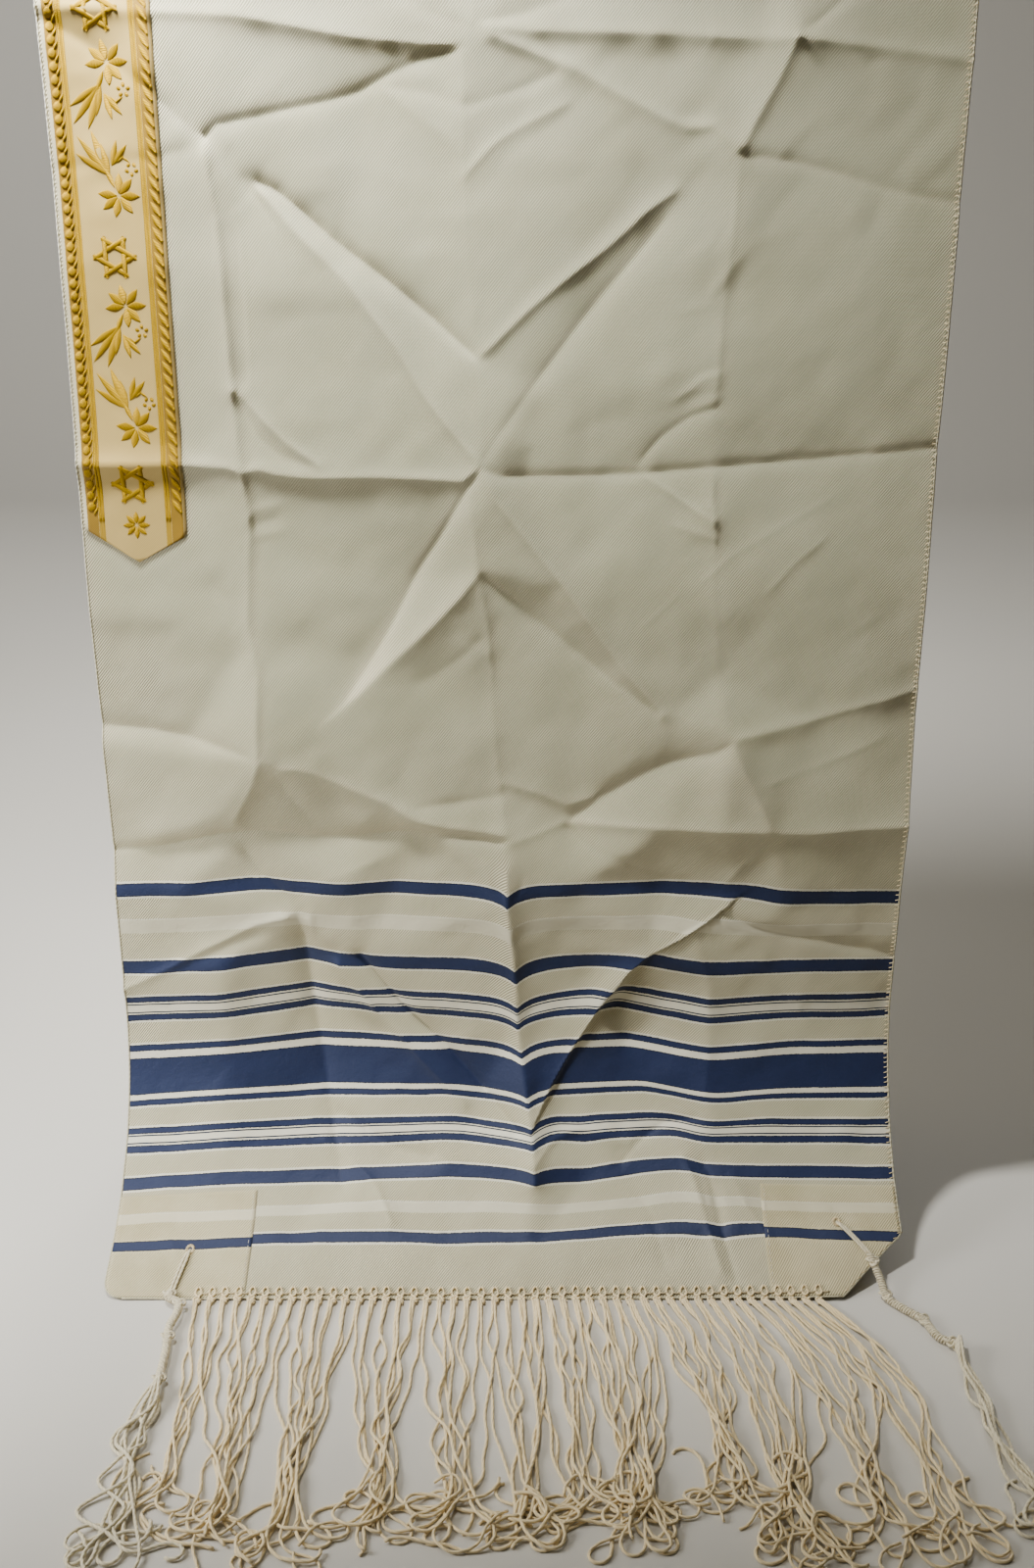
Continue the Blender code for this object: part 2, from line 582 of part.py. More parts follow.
def build_tzitzit(name, route, side, net):
    """A wound cord from the eyelet over the hem to its knot, with loose strands running on over the floor."""
    knot_x, knot_out = route["cord"][-1]
    count = TASSEL_STRANDS
    pitch = TASSEL_STRAND_WIDTH + TASSEL_STRAND_GAP
    half = pitch * count / 2
    edges = [knot_x - WIDTH / 2 - half]
    for i in range(count):
        start = knot_x - WIDTH / 2 - half + pitch * i + TASSEL_STRAND_GAP / 2
        edges += [start, start + TASSEL_STRAND_WIDTH]
    edges.append(knot_x - WIDTH / 2 + half)
    bottom = FLOOR + FLOOR_GAP
    front = -HEM_OUT - knot_out
    bm = bmesh.new()
    fronts, backs = strip_box(bm, edges, front + CORD_WIDTH, front, bottom, bottom + CORD_WIDTH)
    end_x, end_out = route["end"]
    for i in range(count):
        start_x = (edges[1 + 2 * i] + edges[2 + 2 * i]) / 2
        spread = (i - (count - 1) / 2) * pitch
        centres = []
        for step in range(TASSEL_STATIONS + 1):
            share = step / TASSEL_STATIONS
            x = start_x + (end_x - knot_x) * share**TASSEL_BEND + spread * share * TASSEL_SPREAD
            centres.append((x, front - (end_out - knot_out) * share, bottom))
        face = fronts[1 + 2 * i]
        widths = [TASSEL_STRAND_WIDTH] * TASSEL_STATIONS
        add_lock(bm, face, rings_along(face, centres, widths, TASSEL_STRAND_WIDTH))
    middle = backs[count]
    rings = []
    for across, forward in reversed(route["cord"][:-1]):
        low = cord_rest(across, forward, net)
        rings.append(ring_about(low, (0, 1, 0), CORD_WIDTH, CORD_WIDTH))
    add_lock(bm, middle, untwisted(middle, rings))
    turned_half(bm, side)
    add_object(name, bm, "tzitzit", smooth=False)


def cord_rest(across, forward, net):
    """Where the wound cord's underside lies: on the patch behind the hem, or on the floor in front of it."""
    if forward >= 0:
        rest = FLOOR + FLOOR_GAP + (CORD_WIDTH if forward < CORD_WIDTH * 2 else 0)
        return (across - WIDTH / 2, -HEM_OUT - forward, rest)
    offset = ON_CLOTH + PATCH_THICKNESS + CORD_CLEAR
    point = place(np.array([across]), np.array([HALF_LENGTH + forward]), offset, net)[0]
    return tuple(point)


def build_rod():
    bpy.ops.mesh.primitive_cylinder_add(
        vertices=ROD_SIDES,
        radius=ROD_RADIUS * MM,
        depth=ROD_LENGTH * MM,
        rotation=(0, math.pi / 2, 0),
    )
    rod = bpy.context.active_object
    rod.name = "rod"
    rod.data.materials.append(material("rod"))
    edge = rod.modifiers.new("edge", "BEVEL")
    edge.width = ROD_EDGE * MM
    edge.segments = 1
    edge.limit_method = "ANGLE"
    edge.angle_limit = math.radians(60)
    rod.data.shade_smooth()
    rod.data.set_sharp_from_angle(angle=math.radians(30))


def build_cloth(net):
    flat, triangles = cloth_triangles()
    walled("shawl_cloth", flat, triangles, -WALL / 2, WALL / 2, net, "cloth")
    centres = flat[triangles].mean(axis=1)
    band = inside_polygon(centres, band_outline())
    walled("neckband", flat, triangles[band], ON_CLOTH, ON_CLOTH + BAND_THICKNESS, net, "neckband")
    for half, sign in (("front", 1), ("back", -1)):
        low = centres[:, 1] * sign > PATCH_DOWN
        sides = {"left": centres[:, 0] < PATCH_WIDTH, "right": centres[:, 0] > WIDTH - PATCH_WIDTH}
        for edge, near in sides.items():
            name = f"corner_patch_{half}_{edge}"
            walled(name, flat, triangles[low & near], ON_CLOTH, ON_CLOTH + PATCH_THICKNESS, net, "patch")


def main():
    for old in list(bpy.data.objects):
        bpy.data.objects.remove(old)
    net = crease_net()
    build_rod()
    build_cloth(net)
    for half, side in (("front", 1), ("back", -1)):
        build_fringe(f"fringe_{half}", side)
        for edge, route in TASSEL_ROUTES.items():
            build_tzitzit(f"tzitzit_{half}_{edge}", route, side, net)


if __name__ == "__main__":
    main()
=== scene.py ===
import math
from functools import partial

import bmesh
import bpy
import numpy as np
from bpy.props import FloatProperty, FloatVectorProperty, IntProperty, PointerProperty
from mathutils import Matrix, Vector
from mathutils.geometry import delaunay_2d_cdt


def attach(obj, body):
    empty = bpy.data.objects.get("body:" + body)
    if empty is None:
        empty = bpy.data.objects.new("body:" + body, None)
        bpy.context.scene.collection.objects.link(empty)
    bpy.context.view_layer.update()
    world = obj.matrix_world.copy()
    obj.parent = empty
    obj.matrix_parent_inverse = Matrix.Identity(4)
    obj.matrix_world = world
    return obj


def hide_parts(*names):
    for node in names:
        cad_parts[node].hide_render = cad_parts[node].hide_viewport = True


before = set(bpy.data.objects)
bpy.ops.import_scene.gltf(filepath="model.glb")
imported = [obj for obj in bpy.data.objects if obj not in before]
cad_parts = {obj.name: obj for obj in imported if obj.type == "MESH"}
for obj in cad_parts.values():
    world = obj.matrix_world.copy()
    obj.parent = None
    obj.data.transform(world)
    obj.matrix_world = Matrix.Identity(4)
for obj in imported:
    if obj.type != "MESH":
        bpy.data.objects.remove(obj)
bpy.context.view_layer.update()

bl_info = {
    "name": "Tallit Prayer Shawl",
    "version": (1, 0, 0),
    "blender": (4, 5, 0),
    "location": "3D View > Sidebar > Shawl",
    "description": "Dresses a prayer shawl hung over a rod: cloth, neckband, patches, fringes and tzitzit",
    "category": "Add Mesh",
}

MM = 0.001

# Cut of the shawl, in millimetres: the same values as the solids. "across" runs from the left long edge,
# "down" from the fold over the rod.
WIDTH = 457.0
HALF_LENGTH = 914.0
WALL = 1.5
CORNER_RADIUS = 11.0
CORNER_CUT_ACROSS = 40.0
CORNER_CUT_DOWN = 34.0
ROD_RADIUS = 12.0
CLEARANCE = 0.3
FOOT_RADIUS = 130.0
FOOT_TURN = math.radians(65.0)
TOE_LENGTH = 35.0
BAND_INSET = 1.5
BAND_WIDTH = 54.0
BAND_SHOULDER_DOWN = 447.0
BAND_SLANT = 4.0
BAND_TIP_DOWN = 465.0
BAND_TIP_ACROSS = 29.0
PATCH_WIDTH = 80.0
PATCH_DOWN = 850.0
FRINGE_START = 50.0
FRINGE_END = 410.0

# Points where pressed creases meet: across, down, height towards the viewer, and how far the cloth is
# drawn up there, all in millimetres.
CREASE_POINTS = {
    "fold_a": (0, 34, 0, 0), "fold_b": (120, 34, 0, 0),
    "fold_c": (212, 34, 0, 0), "fold_d": (340, 34, 0, 0),
    "fold_e": (457, 34, 0, 0),
    "high_a": (0, 110, 5, 0), "high_b": (112, 112, 7, 0), "high_c": (212, 108, 4.5, 0),
    "high_d": (306, 112, 7, 0),
    "high_e": (380, 100, 5, 0), "high_f": (457, 124, 6, 0),
    "top_a": (0, 190, 9.5, 0), "top_b": (53, 192, 9.5, 0), "top_c": (94, 195, 9.5, 0),
    "top_d": (155, 204, 9.5, 0),
    "top_e": (204, 209, 9.5, 0), "top_star": (212, 201, 11, 0), "top_f": (235, 202, 10, 0),
    "top_g": (353, 207, 9.5, 0), "top_h": (370, 204, 11.5, 0), "top_i": (405, 212, 9.5, 0),
    "top_j": (457, 216, 8, 0),
    "under_a": (110, 206, 8, 0), "under_b": (162, 214, 7.5, 0), "under_c": (282, 214, 8, 0),
    "under_d": (342, 217, 8, 0),
    "second_a": (0, 261, 6, 0), "second_b": (76, 253, 7.5, 0), "second_c": (154, 233, 5.5, 0),
    "second_d": (262, 225, 8, 0), "second_e": (309, 247, 7.5, 0), "second_f": (345, 256, 9, 0),
    "second_g": (401, 270, 6, 0), "second_h": (457, 280, 5.5, 0),
    "small_a": (180, 229, 7, 0), "small_b": (207, 235, 8, 0), "small_c": (247, 229, 7.5, 0),
    "small_d": (207, 262, 6.5, 0),
    "band_low_a": (0, 274, 4.5, 0), "band_low_b": (58, 268, 5.5, 0),
    "left_a": (78, 296, 6.5, 0), "left_b": (82, 358, 6, 0), "left_c": (86, 398, 6, 0),
    "left_in_a": (91, 300, 5.5, 0), "left_in_b": (94, 360, 5, 0), "left_edge": (0, 340, 4, 0),
    "right_a": (346, 298, 7, 0), "right_b": (339, 362, 6, 0), "right_c": (336, 390, 5.5, 0),
    "right_edge": (457, 345, 5.5, 0), "right_field": (400, 350, 5.5, 0),
    "vee_left_a": (104, 275, 5, 0), "vee_left_b": (146, 304, 1.5, 0), "vee_left_c": (182, 334, 1.5, 0),
    "vee_left_d": (144, 320, 7, 0), "vee_left_e": (186, 375, 7.5, 0),
    "vee_mid": (213, 358, 5, 0), "vee_high": (209, 310, 5.5, 0),
    "vee_right_a": (310, 279, 5, 0), "vee_right_b": (262, 317, 5.5, 0), "vee_right_c": (281, 322, 4.5, 0),
    "vee_right_d": (246, 370, 4.5, 0),
    "middle_a": (0, 414, 7.5, 0), "middle_b": (56, 413, 7.5, 0), "middle_c": (87, 415, 7.5, 0),
    "middle_d": (127, 420, 7, 0), "middle_e": (204, 421, 7, 0), "star": (215, 411, 9, 0),
    "middle_f": (236, 419, 4, 0), "middle_g": (300, 417, 2.5, 0), "middle_h": (338, 416, 4, 0),
    "middle_i": (372, 413, 1.5, 0), "middle_j": (457, 407, 1, 0),
    "above_a": (0, 404, 5.5, 0), "above_b": (56, 403, 5.5, 0),
    "below_a": (0, 423, 5, 0), "below_b": (56, 422, 5, 0), "below_c": (128, 429, 5, 0),
    "below_d": (190, 431, 5, 0),
    "leg_left_a": (174, 478, 1.5, 0), "leg_left_b": (148, 522, 1, 0), "leg_left_c": (127, 556, 5.5, 0),
    "leg_left_d": (190, 498, 7, 0), "leg_left_e": (162, 526, 6, 0),
    "leg_mid": (212, 471, 6, 0),
    "leg_right_a": (258, 477, 5.5, 0), "leg_right_b": (292, 520, 5, 0), "leg_right_c": (321, 551, 4, 0),
    "leg_right_d": (240, 492, 1, 0), "leg_right_e": (274, 520, 1, 0),
    "left_d": (86, 452, 5, 0), "left_e": (88, 505, 6, 0), "left_star": (88, 576, 10, 0),
    "right_d": (341, 446, 4.5, 0), "right_e": (343, 482, 5, 0), "right_f": (346, 530, 3, 0),
    "right_star": (355, 568, 10, 0), "right_edge_b": (457, 470, 3, 0), "left_edge_b": (0, 490, 5, 0),
    "lower_a": (0, 558, 0, 0), "lower_b": (50, 564, 0, 0), "lower_c": (0, 568, 3, 0),
    "lower_d": (50, 577, 4, 0),
    "lower_e": (402, 556, 3.5, 0), "lower_f": (457, 537, 1.5, 0), "lower_g": (404, 567, 3, 0),
    "lower_h": (457, 549, 1, 0),
    "knee_a": (67, 609, 5, 0), "knee_b": (108, 584, 6, 0), "knee_c": (128, 573, 6, 0),
    "knee_d": (156, 607, 5.5, 0),
    "knee_e": (190, 623, 6, 0), "knee_f": (326, 581, 2, 0), "knee_g": (264, 617, -1, 0),
    "knee_h": (384, 617, 8, 0),
    "centre_a": (220, 533, 2, 0), "centre_b": (223, 594, 1, 0),
    "low_a": (0, 640, -1, 0), "low_b": (76, 627, -1, 0), "low_c": (132, 627, -1, 0),
    "low_d": (176, 625, 1, 0),
    "low_star": (227, 627, 6, 0), "low_e": (317, 620, 7, 0), "low_f": (350, 620, 8, 0),
    "low_g": (457, 620, 6, 0),
    "stripe_a": (0, 660, 4, 0), "stripe_b": (38, 657, 4, 0), "stripe_c": (77, 655, -2, 2),
    "stripe_d": (132, 652, 5, 0),
    "stripe_e": (227, 664, 8, 1), "stripe_f": (272, 652, 4, 0), "stripe_g": (318, 656, -1, 0),
    "stripe_h": (364, 660, 3, 0), "stripe_i": (386, 671, 5, -5), "stripe_j": (457, 658, 1, -6),
    "pair_a": (0, 723, 2, 0), "pair_b": (60, 706, 5, 4), "pair_c": (102, 683, 1, 4),
    "pair_d": (108, 706, -3, 7),
    "pair_e": (141, 705, 3, 4), "pair_f": (188, 726, 4, 5), "pair_g": (231, 711, 8.5, 2),
    "pair_h": (276, 716, 2, 5),
    "pair_i": (312, 702, 5.5, 4.5), "pair_j": (350, 679, 4.5, 0), "pair_k": (350, 714, 5, -0.5),
    "pair_l": (400, 702, 3, 1),
    "pair_m": (457, 702, 0, 0),
    "wide_a": (0, 780, 0, 0), "wide_b": (60, 780, 2, 4), "wide_c": (112, 745, -6, 7.5),
    "wide_d": (117, 779, -6, 7),
    "wide_e": (188, 764, 4, 7), "wide_f": (213, 788, 3, 5), "wide_g": (233, 744, 10.5, 4),
    "wide_h": (238, 780, 12.5, 4),
    "wide_i": (292, 735, -2, 8), "wide_j": (280, 748, 7, 9), "wide_k": (262, 781, 7, 8),
    "wide_l": (300, 776, 2, 9),
    "wide_m": (349, 784, 6, 0.5), "wide_n": (410, 780, 2, 5), "wide_o": (457, 780, 0, 5),
    "last_a": (0, 844, 0, 0), "last_b": (60, 840, 0, 4),
    "last_c": (127, 832, -5, 7), "last_d": (200, 836, 2, 9),
    "last_e": (243, 836, 11, 3), "last_f": (255, 828, 6, 10), "last_g": (277, 838, 3, 5),
    "last_h": (296, 836, 3, 10), "last_i": (331, 832, 4, 12),
    "last_j": (344, 838, 5, 7), "last_k": (457, 840, 0, 7),
    "hem_a": (0, 890, 0, 0), "hem_b": (100, 884, -1, 5),
    "hem_c": (240, 888, 2, 3), "hem_d": (336, 882, 2, 13),
    "hem_e": (348, 882, 0, 8), "hem_f": (361, 882, 3, 11),
    "hem_g": (400, 882, 1, 9), "hem_h": (457, 880, 0, 8),
    "edge_a": (0, 914, 0, 0), "edge_b": (230, 914, 0, 0), "edge_c": (457, 914, 0, 0),
    "corner_a": (0, 0, 0, 0), "corner_b": (457, 0, 0, 0),
}

# Each fold runs straight from point to point.
FOLDS = (
    "fold_a fold_b fold_c fold_d fold_e",
    "high_a high_b high_c high_d high_e high_f",
    "high_b top_star high_d",
    "high_c top_star",
    "high_e top_h high_f",
    "top_a top_b top_c top_d top_e top_star top_f top_g top_h top_i top_j",
    "under_a under_b",
    "under_c under_d",
    "top_b second_b second_c top_e",
    "second_a second_b",
    "top_star small_b small_d vee_high vee_mid star",
    "small_a small_b small_c small_d small_a",
    "top_f second_d second_e second_f",
    "top_h second_f second_g second_h",
    "band_low_a band_low_b",
    "second_b left_a left_b left_c middle_c",
    "left_in_a left_in_b",
    "second_f right_a right_b right_c middle_h right_d right_e right_f right_star",
    "vee_left_a vee_left_b vee_left_c vee_mid",
    "vee_left_a vee_left_d vee_left_e star",
    "vee_right_a vee_right_b vee_mid",
    "vee_right_a vee_right_c vee_right_d star",
    "left_c middle_d",
    "right_c middle_g",
    "middle_a middle_b middle_c middle_d middle_e star middle_f middle_g middle_h middle_i middle_j",
    "above_a above_b",
    "below_a below_b",
    "below_c below_d",
    "star leg_left_a leg_left_b leg_left_c",
    "leg_mid leg_left_d leg_left_e leg_left_c",
    "star leg_right_a leg_right_b leg_right_c",
    "leg_mid leg_right_d leg_right_e leg_right_c",
    "star leg_mid centre_a centre_b low_star",
    "middle_c left_d left_e left_star",
    "lower_a lower_b left_star",
    "lower_c lower_d",
    "right_star lower_e lower_f",
    "lower_g lower_h",
    "leg_left_c knee_c knee_b left_star knee_a low_b",
    "knee_c knee_d knee_e low_star",
    "leg_right_c right_star knee_f knee_g low_star",
    "right_star knee_h",
    "low_a low_b low_c low_d knee_e",
    "knee_g low_e low_f knee_h low_g",
    "low_star stripe_e pair_g wide_g wide_h last_e",
    "stripe_h stripe_i",
    "stripe_b stripe_c stripe_d",
    "pair_a pair_c",
    "stripe_c pair_c pair_d wide_c wide_d last_c",
    "pair_e wide_e wide_f",
    "stripe_h pair_j pair_i wide_j wide_k wide_h",
    "pair_k wide_m last_j hem_e",
)

# Pressed lines: rise of the crest (below zero for a furrow), the distance over which it dies out, how far
# the cloth is drawn up along it, and its places as across and down.
PRESSED_LINES = (
    # Top crease, with the star where four folds meet.
    (1.5, 3.1, 0, ((0, 192), (60, 195), (95, 196), (120, 200), (155, 206), (207, 210))),
    (1.4, 3.1, 0, ((212, 200), (240, 203), (300, 204), (340, 206), (357, 207), (370, 206))),
    (1.3, 2.5, 0, ((370, 206), (400, 209), (457, 216))),
    (-0.8, 2.5, 0, ((370, 205), (378, 200), (394, 188), (420, 172))),
    (-0.9, 2.5, 0, ((150, 172), (180, 189), (197, 198), (212, 202))),
    (-0.9, 2.5, 0, ((212, 200), (235, 196), (262, 187), (300, 170))),
    (0.6, 1.9, 0, ((212, 120), (212, 160), (212, 200))),
    # Folds that fall from it.
    (-1.4, 2.5, 0, ((78, 251), (84, 245), (100, 242), (120, 238), (140, 234), (155, 230),
                    (170, 222), (185, 216), (207, 210))),
    (1.5, 2.5, 0, ((220, 205), (240, 212), (262, 220), (285, 232), (305, 242), (318, 247),
                   (331, 246), (343, 256))),
    (-1.4, 4.3, 0, ((2, 197), (24, 209), (50, 228), (77, 252))),
    (-0.7, 1.9, 0, ((46, 193), (58, 214), (69, 234), (77, 251))),
    (0.8, 2.5, 0, ((370, 206), (362, 225), (352, 243), (345, 258))),
    (-0.6, 1.9, 0, ((166, 227), (185, 230), (208, 236))),
    (-0.6, 1.9, 0, ((208, 237), (235, 229), (252, 222))),
    (0.6, 1.9, 0, ((166, 228), (190, 246), (208, 258))),
    (0.9, 2.5, 0, ((208, 268), (222, 254), (240, 244), (258, 236))),
    # Left and right standing creases down to the middle crease.
    (-0.6, 2.5, 0, ((0, 266), (50, 261), (77, 255))),
    (-0.7, 2.5, 0, ((88, 280), (91, 300), (92, 340), (92, 370))),
    (0.6, 1.2, 0, ((80, 258), (88, 276), (93, 300), (94, 340), (94, 374))),
    (1.2, 2.5, 0, ((89, 377), (100, 390), (112, 402), (128, 413))),
    (-0.7, 2.5, 0, ((90, 382), (97, 398), (108, 408), (126, 414))),
    (-0.6, 2.5, 0, ((90, 258), (98, 275), (110, 291))),
    (-1.1, 3.1, 0, ((345, 259), (370, 262), (395, 268), (420, 275), (438, 279), (457, 282))),
    (-0.8, 2.5, 0, ((338, 383), (325, 388), (310, 398), (300, 411))),
    (0.6, 1.9, 0, ((339, 366), (330, 369), (318, 378))),
    (0.4, 1.6, 0, ((346, 309), (340, 316), (334, 324))),
    # Thin crease down the middle.
    (0.4, 1, 0, ((207, 214), (207, 262), (208, 300), (211, 335), (213, 358), (214, 385), (214, 411))),
    # Left and right arms over the middle star.
    (-2.4, 2.8, 0, ((103, 272), (112, 276), (122, 284), (140, 300), (158, 313), (175, 326),
                    (192, 340), (207, 353), (213, 358))),
    (1.5, 3.1, 0, ((103, 276), (120, 295), (138, 312), (146, 320), (157, 335), (170, 352),
                   (183, 375), (196, 392), (213, 412))),
    (1.4, 3.1, 0, ((312, 277), (300, 285), (282, 301), (262, 316), (240, 333), (222, 350), (213, 358))),
    (-1.0, 4.3, 0, ((308, 290), (290, 312), (270, 335), (255, 355), (240, 375), (228, 392),
                    (215, 411))),
    # Middle crease: a crest on the left, a furrow on the right.
    (1.6, 3.1, 0, ((0, 412), (40, 413), (60, 413), (80, 414), (88, 417), (96, 415), (106, 418),
                   (125, 420), (160, 419), (205, 421), (213, 414))),
    (-1.2, 2.8, 0, ((213, 413), (225, 419), (260, 419), (300, 418), (330, 415), (380, 411),
                    (420, 408), (457, 404))),
    (1.3, 3.2, 0, ((302, 420), (315, 428), (328, 437), (339, 444))),
    (0.9, 2.4, 0, ((318, 446), (328, 449), (340, 453))),
    # Legs below the middle star.
    (-1.6, 3.7, 0, ((213, 416), (205, 428), (195, 447), (180, 470), (165, 500), (150, 525),
                    (137, 545), (124, 556))),
    (1.8, 4, 0, ((212, 472), (200, 487), (185, 502), (165, 520), (145, 540), (125, 556))),
    (1.8, 3.7, 0, ((215, 416), (222, 432), (240, 455), (258, 478), (275, 503), (295, 530), (315, 552))),
    (-1.5, 4, 0, ((213, 472), (235, 490), (262, 512), (290, 535), (312, 550))),
    (0.7, 1.4, 0, ((207, 425), (210, 450), (212, 471), (217, 500), (219, 530), (221, 570),
                   (224, 600), (227, 627))),
    (-0.7, 6.4, 0, ((180, 533), (200, 521), (214, 508))),
    (0.5, 1.2, 0, ((401, 432), (375, 447), (350, 462), (335, 476))),
    (0.5, 1.2, 0, ((400, 453), (385, 465), (372, 480))),
    (0.4, 1.2, 0, ((322, 483), (312, 493), (303, 501))),
    # Lower left star.
    (-1.9, 4, 0, ((0, 558), (30, 561), (50, 566), (70, 572), (88, 577))),
    (1.7, 4, 0, ((90, 577), (98, 584), (108, 583), (118, 586), (140, 596), (160, 604), (175, 615),
                 (195, 619), (227, 623))),
    (1.5, 4, 0, ((88, 578), (84, 592), (77, 605), (71, 616))),
    (-1.0, 4.8, 0, ((96, 584), (103, 600), (115, 615), (126, 624))),
    (-2.3, 2.4, 0, ((0, 634), (30, 632), (60, 625), (85, 623), (120, 627), (150, 625), (175, 621),
                    (200, 624), (226, 627))),
    (-1.0, 3.2, 0, ((178, 607), (200, 604), (224, 601))),
    (1.0, 3.2, 0, ((224, 593), (245, 599), (262, 607), (277, 603))),
    # Lower right star.
    (1.1, 3.2, 0, ((356, 565), (370, 562), (395, 556), (420, 548), (440, 543), (457, 537))),
    (-1.8, 4.8, 0, ((352, 569), (345, 575), (320, 580), (300, 590), (280, 603), (268, 613),
                    (262, 618))),
    (1.5, 4, 0, ((355, 570), (362, 585), (370, 600), (378, 618))),
    (1.8, 3.2, 0, ((262, 618), (300, 619), (340, 620), (375, 621), (400, 621), (457, 617))),
    (1.0, 2.4, 0, ((227, 628), (245, 624), (262, 617))),
    (-0.8, 3.2, 0, ((262, 621), (278, 634), (300, 643), (330, 654))),
    (0.5, 1.3, 0, ((440, 565), (420, 575), (400, 583), (378, 591))),
    # Folds that run down through the stripes.
    (-1.5, 4, 0, ((76, 636), (84, 650), (97, 664), (105, 676), (108, 694))),
    (-2.2, 7, 0, ((108, 694), (112, 745), (117, 779), (121, 806), (127, 834), (130, 850))),
    (2.6, 4.5, 0, ((0, 722), (30, 708), (50, 697), (80, 684), (98, 680))),
    (-4, 4.5, 0, ((141, 705), (165, 738), (190, 765), (213, 790), (234, 814))),
    (3, 4, 0, ((128, 712), (150, 744), (176, 774), (202, 802))),
    (3.4, 7, -6, ((228, 640), (228, 664), (231, 690), (233, 715), (234, 744), (238, 778),
                  (242, 812), (244, 845))),
    (-1.2, 5, 0, ((312, 703), (330, 686), (350, 670))),
    (-1.4, 4, 0, ((353, 672), (372, 680), (395, 685), (420, 691), (457, 700))),
    (1.4, 12, 0, ((338, 690), (346, 712), (348, 740), (348, 768), (346, 792))),
    (2.0, 5, 0, ((243, 836), (255, 824), (268, 818), (284, 822), (300, 830))),
    (-1.4, 4, 0, ((296, 838), (308, 826), (322, 816), (340, 810))),
    (-2.2, 4, 0, ((127, 806), (142, 816), (160, 828), (182, 834))),
    (2, 4, 0, ((118, 822), (134, 834), (150, 850), (160, 872))),
    (2.4, 5, 0, ((332, 838), (338, 852), (343, 872), (350, 900))),
    (-1.8, 4, 0, ((344, 838), (349, 856), (353, 880), (358, 904))),
    (1.2, 4, 0, ((361, 846), (368, 866), (380, 886))),
    (-1.0, 5, 0, ((300, 850), (312, 872), (318, 896))),
    (-1.0, 4, 0, ((418, 862), (430, 884), (438, 898))),
    (0.8, 4, 0, ((10, 862), (30, 872), (38, 890))),
)

# Tucks, where a fold overlaps what lies on its right: height of its crest, the distance over which it
# dies out on the left, how much higher the threads stand on the right, and its places.
TUCKS = (
    (2.6, 6, 3.5, ((356, 668), (330, 690), (312, 703), (300, 715), (292, 728), (282, 742),
                   (268, 765), (256, 786), (246, 806))),
    (2.4, 4, 0, ((78, 254), (79, 270), (82, 290), (83, 320), (84, 350), (85, 374))),
    (1.7, 4, 0, ((85, 374), (86, 400), (88, 425), (90, 440))),
    (0.4, 3.5, 0, ((345, 260), (344, 280), (343, 300), (341, 320), (339, 350), (338, 382))),
    (0.5, 3, 0, ((338, 415), (340, 440), (341, 480), (344, 510), (347, 540), (352, 566))),
    (1.1, 4, 0, ((90, 446), (88, 470), (86, 500), (90, 530), (88, 574))),
)

